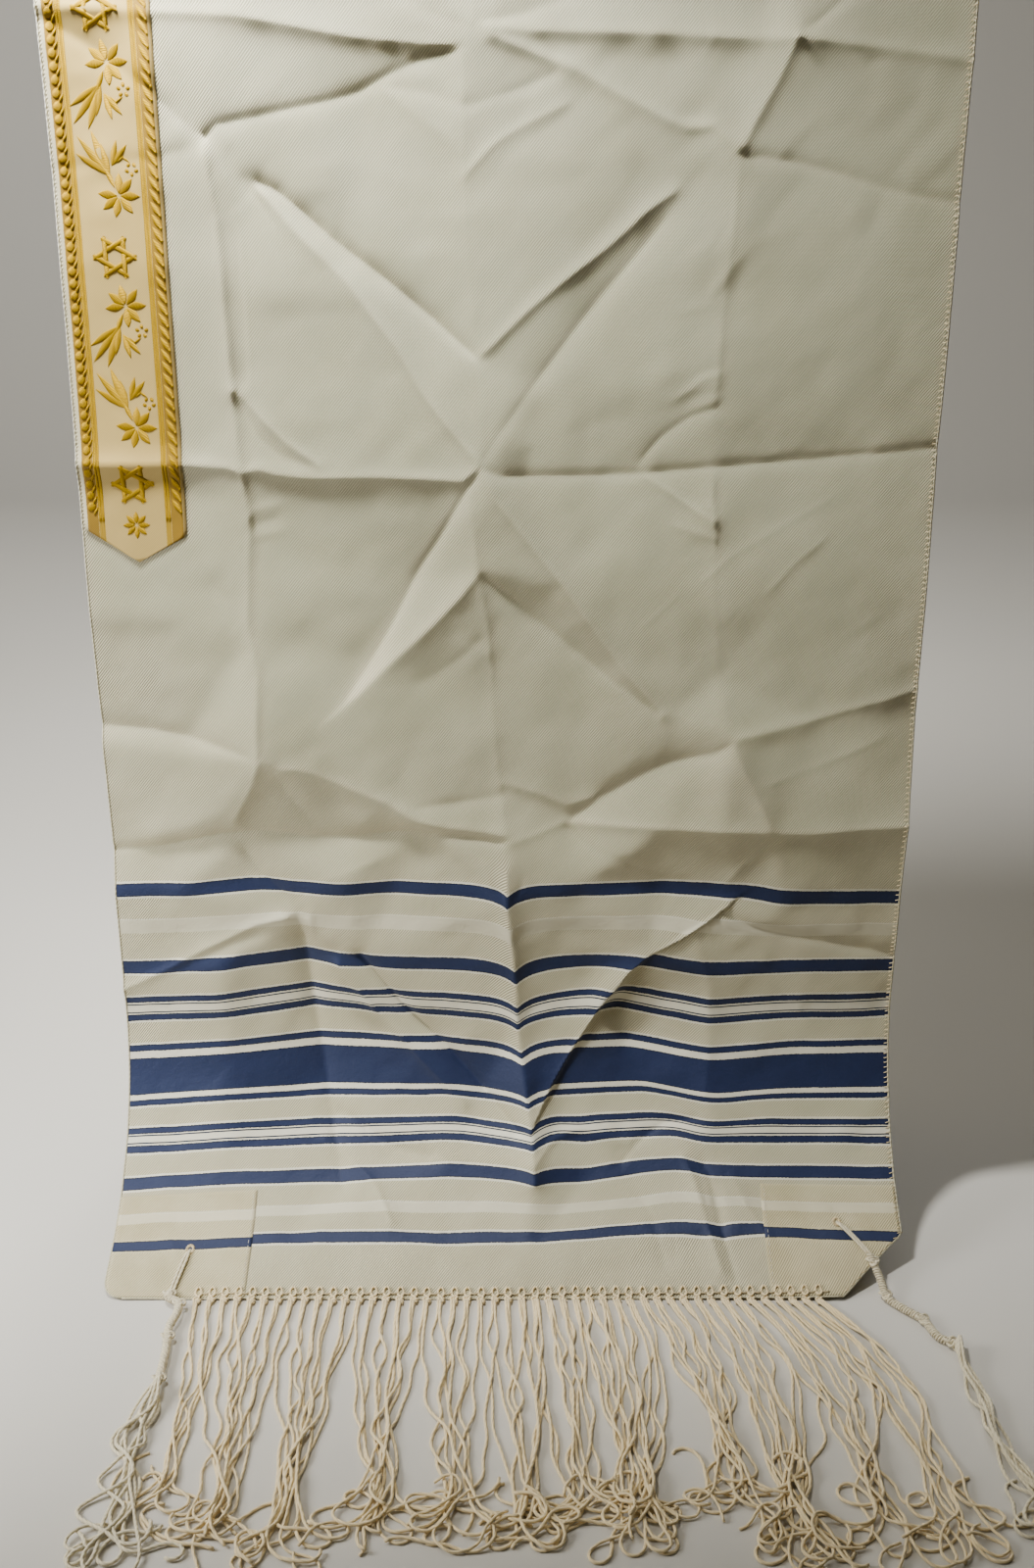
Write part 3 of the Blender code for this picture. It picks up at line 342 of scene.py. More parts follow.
# Small puckers beside the standing creases: across and down of the head, length, lean from level in
# degrees, and rise.
PUCKERS = (
    (88, 262, 16, 60, -0.7), (96, 270, 20, 52, -0.6), (90, 284, 9, -35, -0.8), (93, 437, 14, -14, 0.8),
    (90, 446, 15, -18, -0.7), (91, 452, 16, -12, 0.7), (86, 458, 10, 40, -0.6), (74, 484, 14, 55, -0.5),
    (70, 488, 18, 58, 0.5), (80, 498, 13, 50, -0.7), (78, 506, 16, 62, 0.7), (84, 514, 18, 55, -0.8),
    (88, 519, 13, 48, 0.7), (87, 529, 14, 45, -0.7), (92, 533, 10, 40, 0.6), (84, 548, 22, 88, 0.5),
    (91, 548, 24, 88, -0.4), (332, 302, 14, 155, 0.5), (338, 296, 8, 120, -0.5), (348, 309, 20, 130, 0.4),
    (345, 326, 12, 60, -0.6), (334, 331, 16, 165, 0.5), (326, 336, 12, 170, -0.4), (336, 286, 20, 168, -0.5),
    (340, 363, 12, 170, -0.7), (340, 371, 15, 168, 0.55), (341, 378, 18, 160, 0.4), (342, 392, 14, 55, -0.6),
    (341, 425, 12, 80, -0.7), (336, 434, 8, 60, 0.5), (341, 455, 12, 175, -0.35), (340, 462, 16, 165, 0.4),
    (352, 498, 8, -60, -0.5), (350, 530, 14, 80, 0.5), (356, 548, 14, 60, -0.5), (206, 286, 10, 120, 0.3),
    (210, 305, 9, 70, 0.3), (214, 330, 10, 110, 0.35), (142, 296, 14, 80, -0.5), (144, 302, 12, 84, 0.5),
    (213, 445, 8, 70, 0.3), (215, 505, 14, 35, 0.4), (216, 517, 12, 200, 0.35), (222, 585, 12, 60, -0.4),
    (180, 430, 12, 15, 0.35), (165, 436, 12, -8, -0.3), (62, 427, 16, -18, 0.4), (120, 452, 22, 30, 0.3),
    (190, 650, 34, 8, -0.6), (214, 640, 14, 70, 0.7), (238, 646, 12, 110, -0.6), (152, 640, 30, 160, 0.6),
    (112, 676, 14, 85, 1.0), (104, 668, 12, 60, -0.8), (128, 690, 12, 30, -0.5), (356, 652, 22, -48, 0.8),
    (366, 650, 18, -50, -0.5), (352, 678, 12, 40, -0.5), (320, 640, 22, 170, -0.4), (262, 700, 40, -3, 0.3),
    (236, 820, 10, 60, -0.8), (262, 822, 20, -20, 0.8), (310, 826, 18, 160, -0.7), (336, 806, 20, 172, 0.7),
    (160, 822, 26, 30, 0.6), (140, 812, 18, 50, -0.5), (345, 845, 30, 84, 0.9), (352, 850, 34, 86, -0.7),
    (356, 880, 24, 80, 0.5), (330, 205, 10, 120, 0.4), (90, 206, 14, 60, -0.4), (246, 207, 10, 50, -0.6),
    (262, 208, 12, 55, -0.5), (168, 211, 16, 20, -0.5), (30, 468, 22, 38, -0.4), (8, 470, 20, 25, 0.4),
    (62, 468, 22, 55, -0.5), (440, 300, 14, 30, 0.5), (446, 322, 12, 10, 0.4), (444, 345, 12, -20, -0.4),
    (432, 496, 20, 150, 0.4), (446, 484, 12, 20, 0.4), (385, 222, 40, 35, 0.3), (400, 215, 50, 32, 0.3),
)

# Gentle unevenness: distance between the waves, their height, and the seed of each layer.
UNEVENNESS = ((61, 0.6, 3), (27, 0.36, 5), (13, 0.18, 8), (6, 0.065, 13), (3, 0.018, 19))

BROAD_SPREAD = 24.0
LIFT_SPREAD = 7.0
NET_SPREAD = 3.0
TUCK_EDGE = 1.3
PUCKER_WIDTH = 2.0
# Over the rod the cloth is smooth as far as here, and the creases rise over the run that follows.
SMOOTH_DOWN = 20.0
SMOOTH_RUN = 60.0

# Woven lines across the shawl near each hem: first and last down, and the thread.
STRIPES = (
    (654.5, 662.0, "blue"),
    (677.0, 686.0, "satin"),
    (704.0, 712.0, "blue"),
    (728.3, 731.7, "blue"),
    (733.1, 733.6, "hair"),
    (738.5, 739.0, "hair"),
    (740.2, 743.9, "blue"),
    (760.0, 763.6, "blue"),
    (768.4, 789.9, "blue"),
    (793.6, 796.7, "blue"),
    (810.2, 813.5, "blue"),
    (814.5, 815.0, "hair"),
    (818.9, 819.4, "hair"),
    (820.7, 824.6, "blue"),
    (839.3, 846.4, "blue"),
    (860.0, 866.0, "satin"),
    (877.2, 882.9, "blue"),
)
WHITE_LINES = ((732.0, 740.4), (763.6, 768.7), (789.6, 793.6), (813.4, 820.8))
WHITE_EDGE = 1.3
# How far the stripes of each kind spread beyond their own threads.
WEFT_SPREAD = {"blue": 0.25, "satin": 0.0, "hair": 0.15}

# One sprig of the neckband, from its flower's centre: x to the right and y away from the leaves.
PETAL_TURNS = (-12, 38, 88, 138, 176, 264, 308)
PETAL_LENGTH = 10.0
PETAL_WIDTH = 4.4
# Leaves: base x and y, tip x and y, width.
SPRIG_LEAVES = (
    (-2.0, -4.0, -6.0, -13.0, 2.6),
    (-4.5, -10.0, -19.5, -19.5, 3.6),
    (-5.0, -10.5, -18.5, -27.5, 3.8),
    (-4.5, -10.5, -11.5, -30.0, 4.2),
    (-3.8, -10.0, -7.0, -24.0, 3.4),
    (-2.4, -14.5, 0.6, -25.5, 3.2),
    (-2.0, -14.5, 5.5, -23.5, 3.2),
)
FLORET_CENTRE = (7.4, -12.5)
FLORET_RADIUS = 2.5
FLORET_DOTS = 5
FLORET_STEM = ((1.0, -16.0, 3.4, -18.2, 1.2), (3.2, -18.2, 6.2, -16.0, 1.2))
# Places down from a star: the sprig's flower, whether its leaves run down, and its place across the band.
SPRIGS = ((24.0, True, 30.5), (85.5, False, 31.5))
STAR_RADIUS = 12.0
STAR_BAR = 2.5
FIRST_STAR_DOWN = 423.0

# Borders of the neckband, from its left edge: first and last place across, and the finish.
BAND_ZONES = (
    (0.0, 1.6, "selvedge"),
    (1.6, 7.5, "chain"),
    (7.7, 10.8, "line"),
    (43.2, 46.1, "line"),
    (46.3, 52.4, "rope"),
    (52.4, 54.0, "edge"),
)

# Clumps of curled yarn ends in front of the hem: across, forward, and reach of the curls.
NESTS = (
    (58, 158, 20),
    (92, 172, 17),
    (126, 178, 17),
    (166, 163, 18),
    (206, 166, 16),
    (238, 168, 14),
    (262, 158, 18),
    (292, 160, 15),
    (338, 152, 19),
    (366, 176, 17),
    (404, 164, 19),
    (440, 172, 18),
)
# Sideways drift of the yarns by where they start: across, drift.
YARN_DRIFT = ((50, 5), (140, -3), (220, 1), (300, 12), (360, 26), (410, 44))

# What lies on the cloth's middle surface, and how far out.
BAND_LOW = 0.15
BAND_HIGH = 0.75
PATCH_LOW = 0.1
PATCH_HIGH = 0.34
MOTIF_RISE = 0.45
BEAD_RISE = 0.6
# How far raised threads start inside the ribbon.
SUNK = 0.05

# Each half is laid in two meshes that meet here, down from the fold: half, side, columns, and the rows of
# the upper and the lower mesh. The back, which is seen less, has fewer.
SHEET_SPLIT = 455.0
SHEETS = (("front", 1, 326, 286, 284), ("back", -1, 170, 120, 130))

# Threads in radians a millimetre, which is 2 pi over the distance between them. The twill's real ribs are
# 0.5 mm apart, too fine to show, and are drawn 1.5 mm apart. The ribbon's ribs and its gilt lines' wales,
# finer in the real one too, are drawn 1.2 mm apart, and the gilt floats 0.75 mm.
TWILL_RIBS = 4.2
TWILL_SLANT = 0.8
RIBBON_RIBS = 5.4
RIBBON_WALES = 5.2
GILT_FLOATS = 8.4
GILT_SLANT = 3.0
# How wide the darker edge of a blue stripe is, where its threads are packed.
PACKED_EDGE = 0.7

# Neckband ribbon's mesh, the width of its tip, and how far above the point its ornaments end.
BAND_ROWS = 425
BAND_COLUMNS = 20
BAND_TIP_WIDTH = 0.2
BAND_BARE = 6.0
# Border ornaments: shape, across the ribbon, further down, lean, width and its unevenness, and length.
BORDER_STITCHES = (
    ("bead", 4.4, 0.0, 0.3, 4.2, 0.06, 5.0),
    ("leaf", 6.5, 2.4, 0.5, 1.5, 0.0, 4.6),
    ("leaf", 49.6, 0.0, -0.55, 3.0, 0.0, 8.6),
    ("bead", 51.6, 3.0, 0.0, 1.5, 0.0, 2.2),
)
# Gilt lines beside the ornaments: rows of the mesh, the gap between a line's two cords, and their profile.
LINE_ROWS = 400
LINE_OVERRUN = 2.0
LINE_GAP = 0.15
LINE_BEVEL = 0.3
LINE_RISE = (0.02, 0.25, 0.25, 0.02)
# A bar of the star, one unit long: place along it, width and height of each rib. Then the rib's outline.
BAR_STATIONS = (
    (-0.5, 0.1, 0.5), (-0.46, 0.8, 0.9), (-0.25, 1, 1), (-0.2, 1, 1.15), (-0.13, 1, 1.15), (-0.08, 1, 1),
    (0.08, 1, 1), (0.13, 1, 0.45), (0.2, 1, 0.45), (0.25, 1, 1), (0.46, 0.8, 0.9), (0.5, 0.1, 0.5),
)
BAR_RING = ((-0.5, 0.0), (0.5, 0.0), (0.5, 0.55), (0.22, 1.0), (-0.22, 1.0), (-0.5, 0.55))
# Sprigs: how far one reaches, how far petals stand off their middle, and leaves and dots of the floret.
SPRIG_REACH = 32.0
PETAL_GAP = 0.8
LEAF_OVERLAP = 1.5
FLORET_DOT = (1.9, 2.3)
# The flower in the ribbon's point: how far it is from the tip, its petals, and their length and width.
END_FLOWER = (20.0, 8, 6.5, 3.0)

# Patches' mesh, how far it stays inside the cloth's edge, and how far its stripe lies below the cloth's.
PATCH_ROWS = 34
PATCH_COLUMNS = 42
PATCH_SHY = 0.4
PATCH_STRIPE_SHIFT = 2.0
# The seam beside it, stitch by stitch.
SEAM_INSET = 2.0
SEAM_PITCH = 3.4
SEAM_LENGTH = 2.4
SEAM_RADIUS = 0.15
SEAM_RISE = (-0.15, 0.08, 0.08, -0.15)

# Rolled hems, and where their corners begin.
HEM_RADIUS = 0.55
HEM_STRAIGHT = 890.0
HEM_COLUMNS = 120
# One overlock stitch: in from the edge, down (times the stitch's own lean where above zero) and out.
OVERLOCK = ((2.6, 1.0, 0.35), (1.04, 0.5, 0.75), (-0.55, 0.0, 0.1), (1.56, -0.6, -0.45))
STITCH_PITCH = 3.1
STITCH_RADIUS = 0.24
# Eyelets, as across and down. One stitch of theirs: out from the middle, and over the patch.
EYELETS = ((45.0, 885.0), (420.0, 874.0))
EYELET_STITCH = ((1.5, -0.5), (2.0, 0.45), (2.7, 0.45), (3.0, 0.0))
EYELET_STITCHES = 16
EYELET_RADIUS = 0.42
EYELET_SQUASH = 0.8

# The heap's grid: the place of its first cell as across and forward, its size, and the margin kept free.
HEAP_ORIGIN = (-80.0, -6.0)
HEAP_CELLS = (1300, 500)
HEAP_MARGIN = 3
CELLS_PER_MM = 2
# Yarns on the floor: how far apart points are, how far a yarn rests on the one below, and its curls.
YARN_STEP = 2.3
YARN_LAG = 3
HEAP_PRESS = 0.35
HEAP_LIMIT = 7.0
CURL_RADIUS = (6.0, 24.0)
CURL_RUN = (10.0, 38.0)
CURL_LENGTH = (18.0, 92.0)
FIRST_RUN = (6.0, 20.0)
SIDE_CHANGE = 0.6
BEND_GAIN = 0.4
HOME_PULL = 0.28
# From the knot to its clump: how far clumps draw yarns in, and the yarn's sway and crimp on the way.
BELOW_KNOT = 3.5
NEST_DRAW = 17.0
SWAY = 2.6
SWAY_STATIONS = 11
CRIMP = 0.35
CRIMP_RUN = 5.5
# Knots left of this place have a yarn less. Each knot lies below the hem, under a loop through the cloth.
THIN_BELOW = 235.0
KNOT_HEIGHT = 3.2
KNOT_SIZE = 4.6
KNOT_POINTS = 22
LOOP_RADIUS = 0.72
LINK_RADIUS = 0.62
KNOT_RADIUS = 0.78

# Tzitzit threads wound round the core, their knots, and the loose ends.
WINDING_PITCH = 3.0
HELIX_STEPS = 8
TZITZIT_KNOT = 7.5
TZITZIT_THREADS = 8
# How far forward the loose threads are at their full spread.
SPREAD_AT = 150.0
# Tzitzit of a front corner: the eyelet, the place where the cords leave the cloth's edge, the wound part's
# stops over the floor as across, forward and height, the shares of it where knots are, the loose threads'
# stops as across and forward, how far they spread to each side, and how far over the floor they start.
TZITZIT_ROUTES = {
    "left": {
        "eyelet": (45.0, 885.0),
        "edge": (38.5, 911.0),
        "wound": (
            (38.0, 3.0, 4.5), (45.0, 9.0, 5.0), (46.0, 16.0, 5.0),
            (44.0, 28.0, 4.6), (46.0, 48.0, 4.2), (47.0, 74.0, 4.0),
        ),
        "knots": (0.05, 0.22, 0.55, 0.97),
        "strands": ((45, 92), (42, 115), (41, 138), (40, 162), (47, 182)),
        "spread": 13.0,
        "over": 2.6,
    },
    "right": {
        "eyelet": (420.0, 874.0),
        "edge": (436.0, 893.0),
        "wound": (
            (440.0, -8.0, 6.0), (441.0, 0.0, 3.0), (448.0, 10.0, 2.4),
            (457.0, 20.0, 2.4), (463.0, 36.0, 2.4), (470.0, 41.0, 2.6),
        ),
        "knots": (0.06, 0.34, 0.68, 0.98),
        "strands": ((470, 58), (471, 84), (473, 112), (477, 138), (480, 160)),
        "spread": 8.0,
        "over": 0.2,
    },
}

# Stage, in metres, and the camera, with its place in millimetres.
STAGE_WIDTH = 9.0
STAGE_DEPTH = 6.4
STAGE_BACK = 2.7
STAGE_HEIGHT = 3.6
STAGE_BEND = 1.2
STAGE_SEGMENTS = 24
NEAR = 0.001
CAMERA_PLACE = (5.0, -886.05, -273.0)
CAMERA_TILT = math.radians(71.0)
CAMERA_LENS = 24.75
CAMERA_SENSOR = 24.0
WORLD_COLOUR = "C9C9C9"
WORLD_STRENGTH = 0.01
# Soft lights: name, place, aim, diameter, spread of the beam in degrees and power.
LIGHTS = (
    ("key", (-0.28, -0.16, 0.2), (-0.25, 0.0, 0.08), 0.14, 124, 16.2),
    ("fill", (-0.54, -0.26, -0.52), (-0.3, -0.12, -0.75), 0.3, 140, 2.4),
    ("background", (-1.1, 1.0, 0.9), (-0.8, 2.7, 0.2), 0.8, 180, 20.0),
    ("rear", (0.35, 1.3, 0.15), (0.0, 0.1, -0.45), 0.7, 60, 1.6),
    ("edge", (0.7, 0.3, 0.0), (0.4, 0.2, -0.84), 0.4, 120, 0.45),
)

# Where the cloth's middle surface lies, and the floor under the hems.
LAY_RADIUS = ROD_RADIUS + CLEARANCE + WALL / 2
QUARTER = LAY_RADIUS * math.pi / 2
FOOT_LENGTH = FOOT_RADIUS * FOOT_TURN
DROP = HALF_LENGTH - QUARTER - FOOT_LENGTH - TOE_LENGTH


def linear(hex_colour):
    """An sRGB hex colour as linear RGB."""
    channels = [int(hex_colour[i : i + 2], 16) / 255 for i in (0, 2, 4)]
    return [c / 12.92 if c <= 0.04045 else ((c + 0.055) / 1.055) ** 2.4 for c in channels]


def colour_property(name, description, hex_colour):
    settings = {"subtype": "COLOR", "size": 3, "min": 0, "max": 1}
    return FloatVectorProperty(name=name, description=description, default=linear(hex_colour), **settings)


def length_property(name, description, millimetres):
    settings = {"subtype": "DISTANCE", "unit": "LENGTH", "min": 0}
    return FloatProperty(name=name, description=description, default=millimetres * MM, **settings)


class ShawlColours(bpy.types.PropertyGroup):
    """Colours of the threads, cords and surroundings."""

    ivory: colour_property("Ivory cloth", "Satin-faced twill of the shawl", "D5CDAB")
    white: colour_property("White lines", "Plain satin lines beside the blue stripes", "E6E2CF")
    blue: colour_property("Blue stripes", "Dyed weft of the stripes", "1B284B")
    patch: colour_property("Corner patches", "Plain cotton of the corner patches", "E0D4AA")
    ground: colour_property("Neckband ground", "Fine twill between the gilt borders", "CCAE64")
    gilt: colour_property("Gilt thread", "Metallic yellow thread of the neckband", "B08C00")
    yarn: colour_property("Fringe yarn", "Two-ply yarn of the fringe", "F6E0AE")
    cord: colour_property("Tzitzit cord", "Undyed wool of the tzitzit", "E6DAB8")
    rod: colour_property("Rod", "Painted wooden rod", "B9B6B0")
    floor: colour_property("Floor", "Plain paper sweep under and behind the shawl", "CDC9BF")


class ShawlSizes(bpy.types.PropertyGroup):
    """Sizes that can be changed without leaving the shawl's own cut."""

    crease_depth: FloatProperty(
        name="Crease depth",
        description="Share of the full height of the pressed creases",
        default=1.0,
        min=0,
        max=1,
    )
    crease_softness: length_property("Crease softness", "Rounding of the pressed creases", 0.35)
    pucker_height: length_property("Pucker height", "Height of the small puckers along the creases", 0.5)
    knot_pitch: length_property("Knot pitch", "Distance between the knots of the fringe", 7.6)
    yarn_width: length_property("Yarn width", "Thickness of one fringe yarn", 1.65)
    yarns_per_knot: IntProperty(
        name="Yarns per knot", description="Yarns that leave each knot", default=3, min=1, max=4
    )
    cord_width: length_property("Cord width", "Thickness of one tzitzit thread", 1.7)
    border_pitch: length_property("Border pitch", "Distance between the border ornaments", 6.0)
    star_pitch: length_property("Star pitch", "Distance between the stars of the neckband", 115.0)


def fall(down):
    """The side profile of a half without folds: distance out, height, and the normal's two parts."""
    turn = np.clip(down / LAY_RADIUS, 0, math.pi / 2)
    drop = np.clip(down - QUARTER, 0, DROP)
    bend = np.clip((down - QUARTER - DROP) / FOOT_RADIUS, 0, FOOT_TURN)
    toe = np.maximum(down - QUARTER - DROP - FOOT_LENGTH, 0)
    out = LAY_RADIUS * np.sin(turn) + FOOT_RADIUS * (1 - np.cos(bend)) + toe * math.sin(FOOT_TURN)
    height = LAY_RADIUS * np.cos(turn) - drop - FOOT_RADIUS * np.sin(bend) - toe * math.cos(FOOT_TURN)
    return out, height, np.sin(turn) * np.cos(bend), np.cos(turn) + np.sin(bend)


HEM_OUT, HEM_HEIGHT = (float(v) for v in fall(np.float64(HALF_LENGTH))[:2])
FLOOR = HEM_HEIGHT - WALL / 2 * math.sin(FOOT_TURN)


def net_on_grid(across, down):
    """Height and lift on an even grid of places, straight between the crease points."""
    names = list(CREASE_POINTS)
    places = [Vector(CREASE_POINTS[name][:2]) for name in names]
    runs = [[names.index(name) for name in fold.split()] for fold in FOLDS]
    lines = [pair for run in runs for pair in zip(run, run[1:])]
    points, _, triangles, origins, _, _ = delaunay_2d_cdt(places, lines, [], 0, 1e-4)
    found = np.zeros((len(down), len(across), 2))
    for triangle in triangles:
        (ax, ay), (bx, by), (cx, cy) = (points[i] for i in triangle)
        values = np.array([CREASE_POINTS[names[origins[i][0]]][2:] for i in triangle], float)
        area = (bx - ax) * (cy - ay) - (by - ay) * (cx - ax)
        if abs(area) < 1e-9:
            continue
        columns = slice(*np.searchsorted(across, (min(ax, bx, cx) - 1, max(ax, bx, cx) + 1)))
        rows = slice(*np.searchsorted(down, (min(ay, by, cy) - 1, max(ay, by, cy) + 1)))
        x, y = np.meshgrid(across[columns], down[rows])
        share_b = ((x - ax) * (cy - ay) - (y - ay) * (cx - ax)) / area
        share_c = ((bx - ax) * (y - ay) - (by - ay) * (x - ax)) / area
        shares = np.stack((1 - share_b - share_c, share_b, share_c), axis=-1)
        inside = shares.min(axis=-1) > -1e-6
        found[rows, columns][inside] = shares[inside] @ values
    return found


def blurred(grid, spread):
    """The grid smoothed by a bell curve of that spread, in grid steps."""
    reach = int(3 * spread) + 1
    weights = np.exp(-0.5 * (np.arange(-reach, reach + 1) / spread) ** 2)
    weights /= weights.sum()
    for axis in (0, 1):
        edges = [(reach, reach) if i == axis else (0, 0) for i in range(grid.ndim)]
        padded = np.pad(grid, edges, mode="edge")
        count = grid.shape[axis]
        grid = sum(w * padded.take(range(i, i + count), axis=axis) for i, w in enumerate(weights))
    return grid


def ripples(shape, cell, seed):
    """Uneven soft waves with a spread of about one, from random heights a cell apart."""
    coarse = np.random.default_rng(seed).standard_normal((shape[0] // cell + 2, shape[1] // cell + 2))
    rows, columns = (np.arange(n) / cell for n in shape)
    top, left = rows.astype(int), columns.astype(int)
    down_share = (rows - top)[:, None]
    across_share = (columns - left)[None]
    down_share = down_share**2 * (3 - 2 * down_share)
    across_share = across_share**2 * (3 - 2 * across_share)
    upper = coarse[top][:, left] * (1 - across_share) + coarse[top][:, left + 1] * across_share
    lower = coarse[top + 1][:, left] * (1 - across_share) + coarse[top + 1][:, left + 1] * across_share
    return upper * (1 - down_share) + lower * down_share


def beside(points, reach):
    """The part of the grid near a line of points, and each place's distance from it.

    The distance is below zero on the line's right.
    """
    low, high = np.min(points, axis=0) - 5 * reach, np.max(points, axis=0) + 5 * reach
    columns = slice(max(int(low[0]), 0), int(high[0]) + 1)
    rows = slice(max(int(low[1]), 0), int(high[1]) + 1)
    x, y = np.meshgrid(np.arange(WIDTH + 1)[columns], np.arange(HALF_LENGTH + 1)[rows])
    nearest = np.full(x.shape, np.inf)
    for (ax, ay), (bx, by) in zip(points, points[1:]):
        run = (bx - ax) ** 2 + (by - ay) ** 2
        share = np.clip(((x - ax) * (bx - ax) + (y - ay) * (by - ay)) / run, 0, 1)
        away = np.hypot(x - ax - share * (bx - ax), y - ay - share * (by - ay))
        away = np.where((bx - ax) * (y - ay) < (by - ay) * (x - ax), -away, away)
        nearest = np.where(np.abs(away) < np.abs(nearest), away, nearest)
    return rows, columns, nearest


class Relief:
    """Heights of the pressed cloth on an even grid of places, one millimetre apart."""

    def __init__(self, depth, softness, pucker):
        across, down = np.arange(WIDTH + 1), np.arange(HALF_LENGTH + 1)
        height, lift = np.moveaxis(net_on_grid(across, down), 2, 0)
        broad = blurred(height, BROAD_SPREAD)
        lift = blurred(lift, LIFT_SPREAD)
        height = blurred(height, NET_SPREAD)
        for rise, reach, drawn, points in PRESSED_LINES:
            rows, columns, nearest = beside(points, reach)
            crest = np.exp(-np.abs(nearest) / reach)
            height[rows, columns] += rise * crest
            lift[rows, columns] += drawn * crest
        for rise, reach, step, points in TUCKS:
            rows, columns, nearest = beside(points, reach)
            crest = np.exp(-np.abs(nearest) / np.where(nearest < 0, TUCK_EDGE, reach))
            height[rows, columns] += rise * crest
            over = np.tanh(-nearest / TUCK_EDGE) * np.exp(-np.abs(nearest) / reach)
            lift[rows, columns] += step / 2 * over
        height = broad + depth * (height - broad)
        for x, y, length, lean, rise in PUCKERS:
            run = length * math.cos(math.radians(lean)), length * math.sin(math.radians(lean))
            bend = (x + run[0] * 0.5, y + run[1] * 0.6)
            rows, columns, nearest = beside(((x, y), bend, (x + run[0], y + run[1])), PUCKER_WIDTH)
            height[rows, columns] += pucker * rise * np.exp(-((nearest / PUCKER_WIDTH) ** 2))
        height = blurred(height, softness)
        for cell, size, seed in UNEVENNESS:
            height += size * ripples(height.shape, cell, seed)
        hold = np.clip((down - SMOOTH_DOWN) / SMOOTH_RUN, 0, 1)[:, None]
        self.grids = np.stack((height * hold, blurred(lift, softness)), axis=-1)

    def at(self, across, down):
        """Height and lift at each place."""
        column = np.clip(across, 0, WIDTH - 1e-6)
        row = np.clip(down, 0, HALF_LENGTH - 1e-6)
        left, top = column.astype(int), row.astype(int)
        a, d = (column - left)[:, None], (row - top)[:, None]
        g = self.grids
        upper = g[top, left] * (1 - a) + g[top, left + 1] * a
        lower = g[top + 1, left] * (1 - a) + g[top + 1, left + 1] * a
        return (upper * (1 - d) + lower * d).T


RELIEFS = {}


def relief():
    """The relief for the sizes as they are set, worked out once."""
    sizes = bpy.context.scene.shawl_sizes
    key = (sizes.crease_depth, sizes.crease_softness / MM, sizes.pucker_height / MM)
    if key not in RELIEFS:
        RELIEFS[key] = Relief(*key)
    return RELIEFS[key]


def place(across, along, offset):
    """Points, in millimetres, of cloth places moved out by offset from the middle surface.

    along is measured from the fold over the rod, forward for the front half and back for the back half,
    which falls as the front half does, turned round.
    """
    across, along = np.broadcast_arrays(np.asarray(across, float), np.asarray(along, float))
    side = np.where(along >= 0, 1.0, -1.0)
    turned = np.where(along >= 0, across, WIDTH - across)
    height, lift = relief().at(turned.ravel(), np.abs(along).ravel()).reshape(2, *across.shape)
    out, up, normal_out, normal_up = fall(np.abs(along) - lift)
    reach = np.hypot(normal_out, normal_up)
    moved = (height + offset) / reach
    x = across - WIDTH / 2
    return np.stack((x, -side * (out + normal_out * moved), up + normal_up * moved), axis=-1)


class Pile:
    """Points, faces and the faces' UV corners gathered for one mesh, in millimetres."""

    def __init__(self):
        self.points, self.faces, self.corners, self.count = [], [], [], 0

    def add(self, points, faces, corners):
        self.points.append(points)
        self.faces.extend([[i + self.count for i in face] for face in faces])
        self.corners.append(np.asarray(corners, float).reshape(-1, 2))
        self.count += len(points)

    def made(self, name, material, normals=None):
        """The gathered mesh as an object that rides on the shawl's body, shaded with any normals given."""
        mesh = bpy.data.meshes.new(name)
        mesh.from_pydata(np.concatenate(self.points) * MM, [], self.faces)
        mesh.uv_layers.new(name="UVMap").uv.foreach_set("vector", np.concatenate(self.corners).ravel() * MM)
        mesh.materials.append(material)
        mesh.shade_smooth()
        mesh.update()
        if normals is not None:
            mesh.normals_split_custom_set_from_vertices(normals)
        obj = bpy.data.objects.new(name, mesh)
        bpy.context.scene.collection.objects.link(obj)
        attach(obj, "root")
        return obj


def grid_faces(rows, columns, closed=False):
    """Quads between the rows and columns of a grid. If closed, the last column joins the first."""
    spans = columns if closed else columns - 1
    row, column = np.meshgrid(np.arange(rows - 1), np.arange(spans), indexing="ij")
    here, below, following = row * columns, (row + 1) * columns, (column + 1) % columns
    corners = (here + column, below + column, below + following, here + following)
    return np.stack(corners, axis=-1).reshape(-1, 4)


def lay_shell(pile, across, along, inner, outer, uv=None):
    """A closed layer of cloth between two offsets over a grid of places."""
    rows, columns = across.shape
    count = rows * columns
    faces = grid_faces(rows, columns)
    rim = np.concatenate(
        (
            np.arange(columns),
            np.arange(1, rows) * columns + columns - 1,
            (rows - 1) * columns + np.arange(columns - 2, -1, -1),
            np.arange(rows - 2, 0, -1) * columns,
        )
    )
    ahead = np.roll(rim, -1)
    sides = np.stack((rim, ahead, ahead + count, rim + count), axis=-1)
    points = [place(across, along, offset).reshape(-1, 3) for offset in (outer, inner)]
    flat = np.stack(uv or (across, along), axis=-1).reshape(-1, 2)
    flat = np.concatenate((flat, flat))
    everything = np.concatenate((faces, faces[:, ::-1] + count, sides))
    pile.add(np.concatenate(points), everything, flat[everything])


def travelled(path):
    """How far along a path each of its points lies."""
    return np.concatenate(([0.0], np.cumsum(np.linalg.norm(np.diff(path, axis=0), axis=1))))


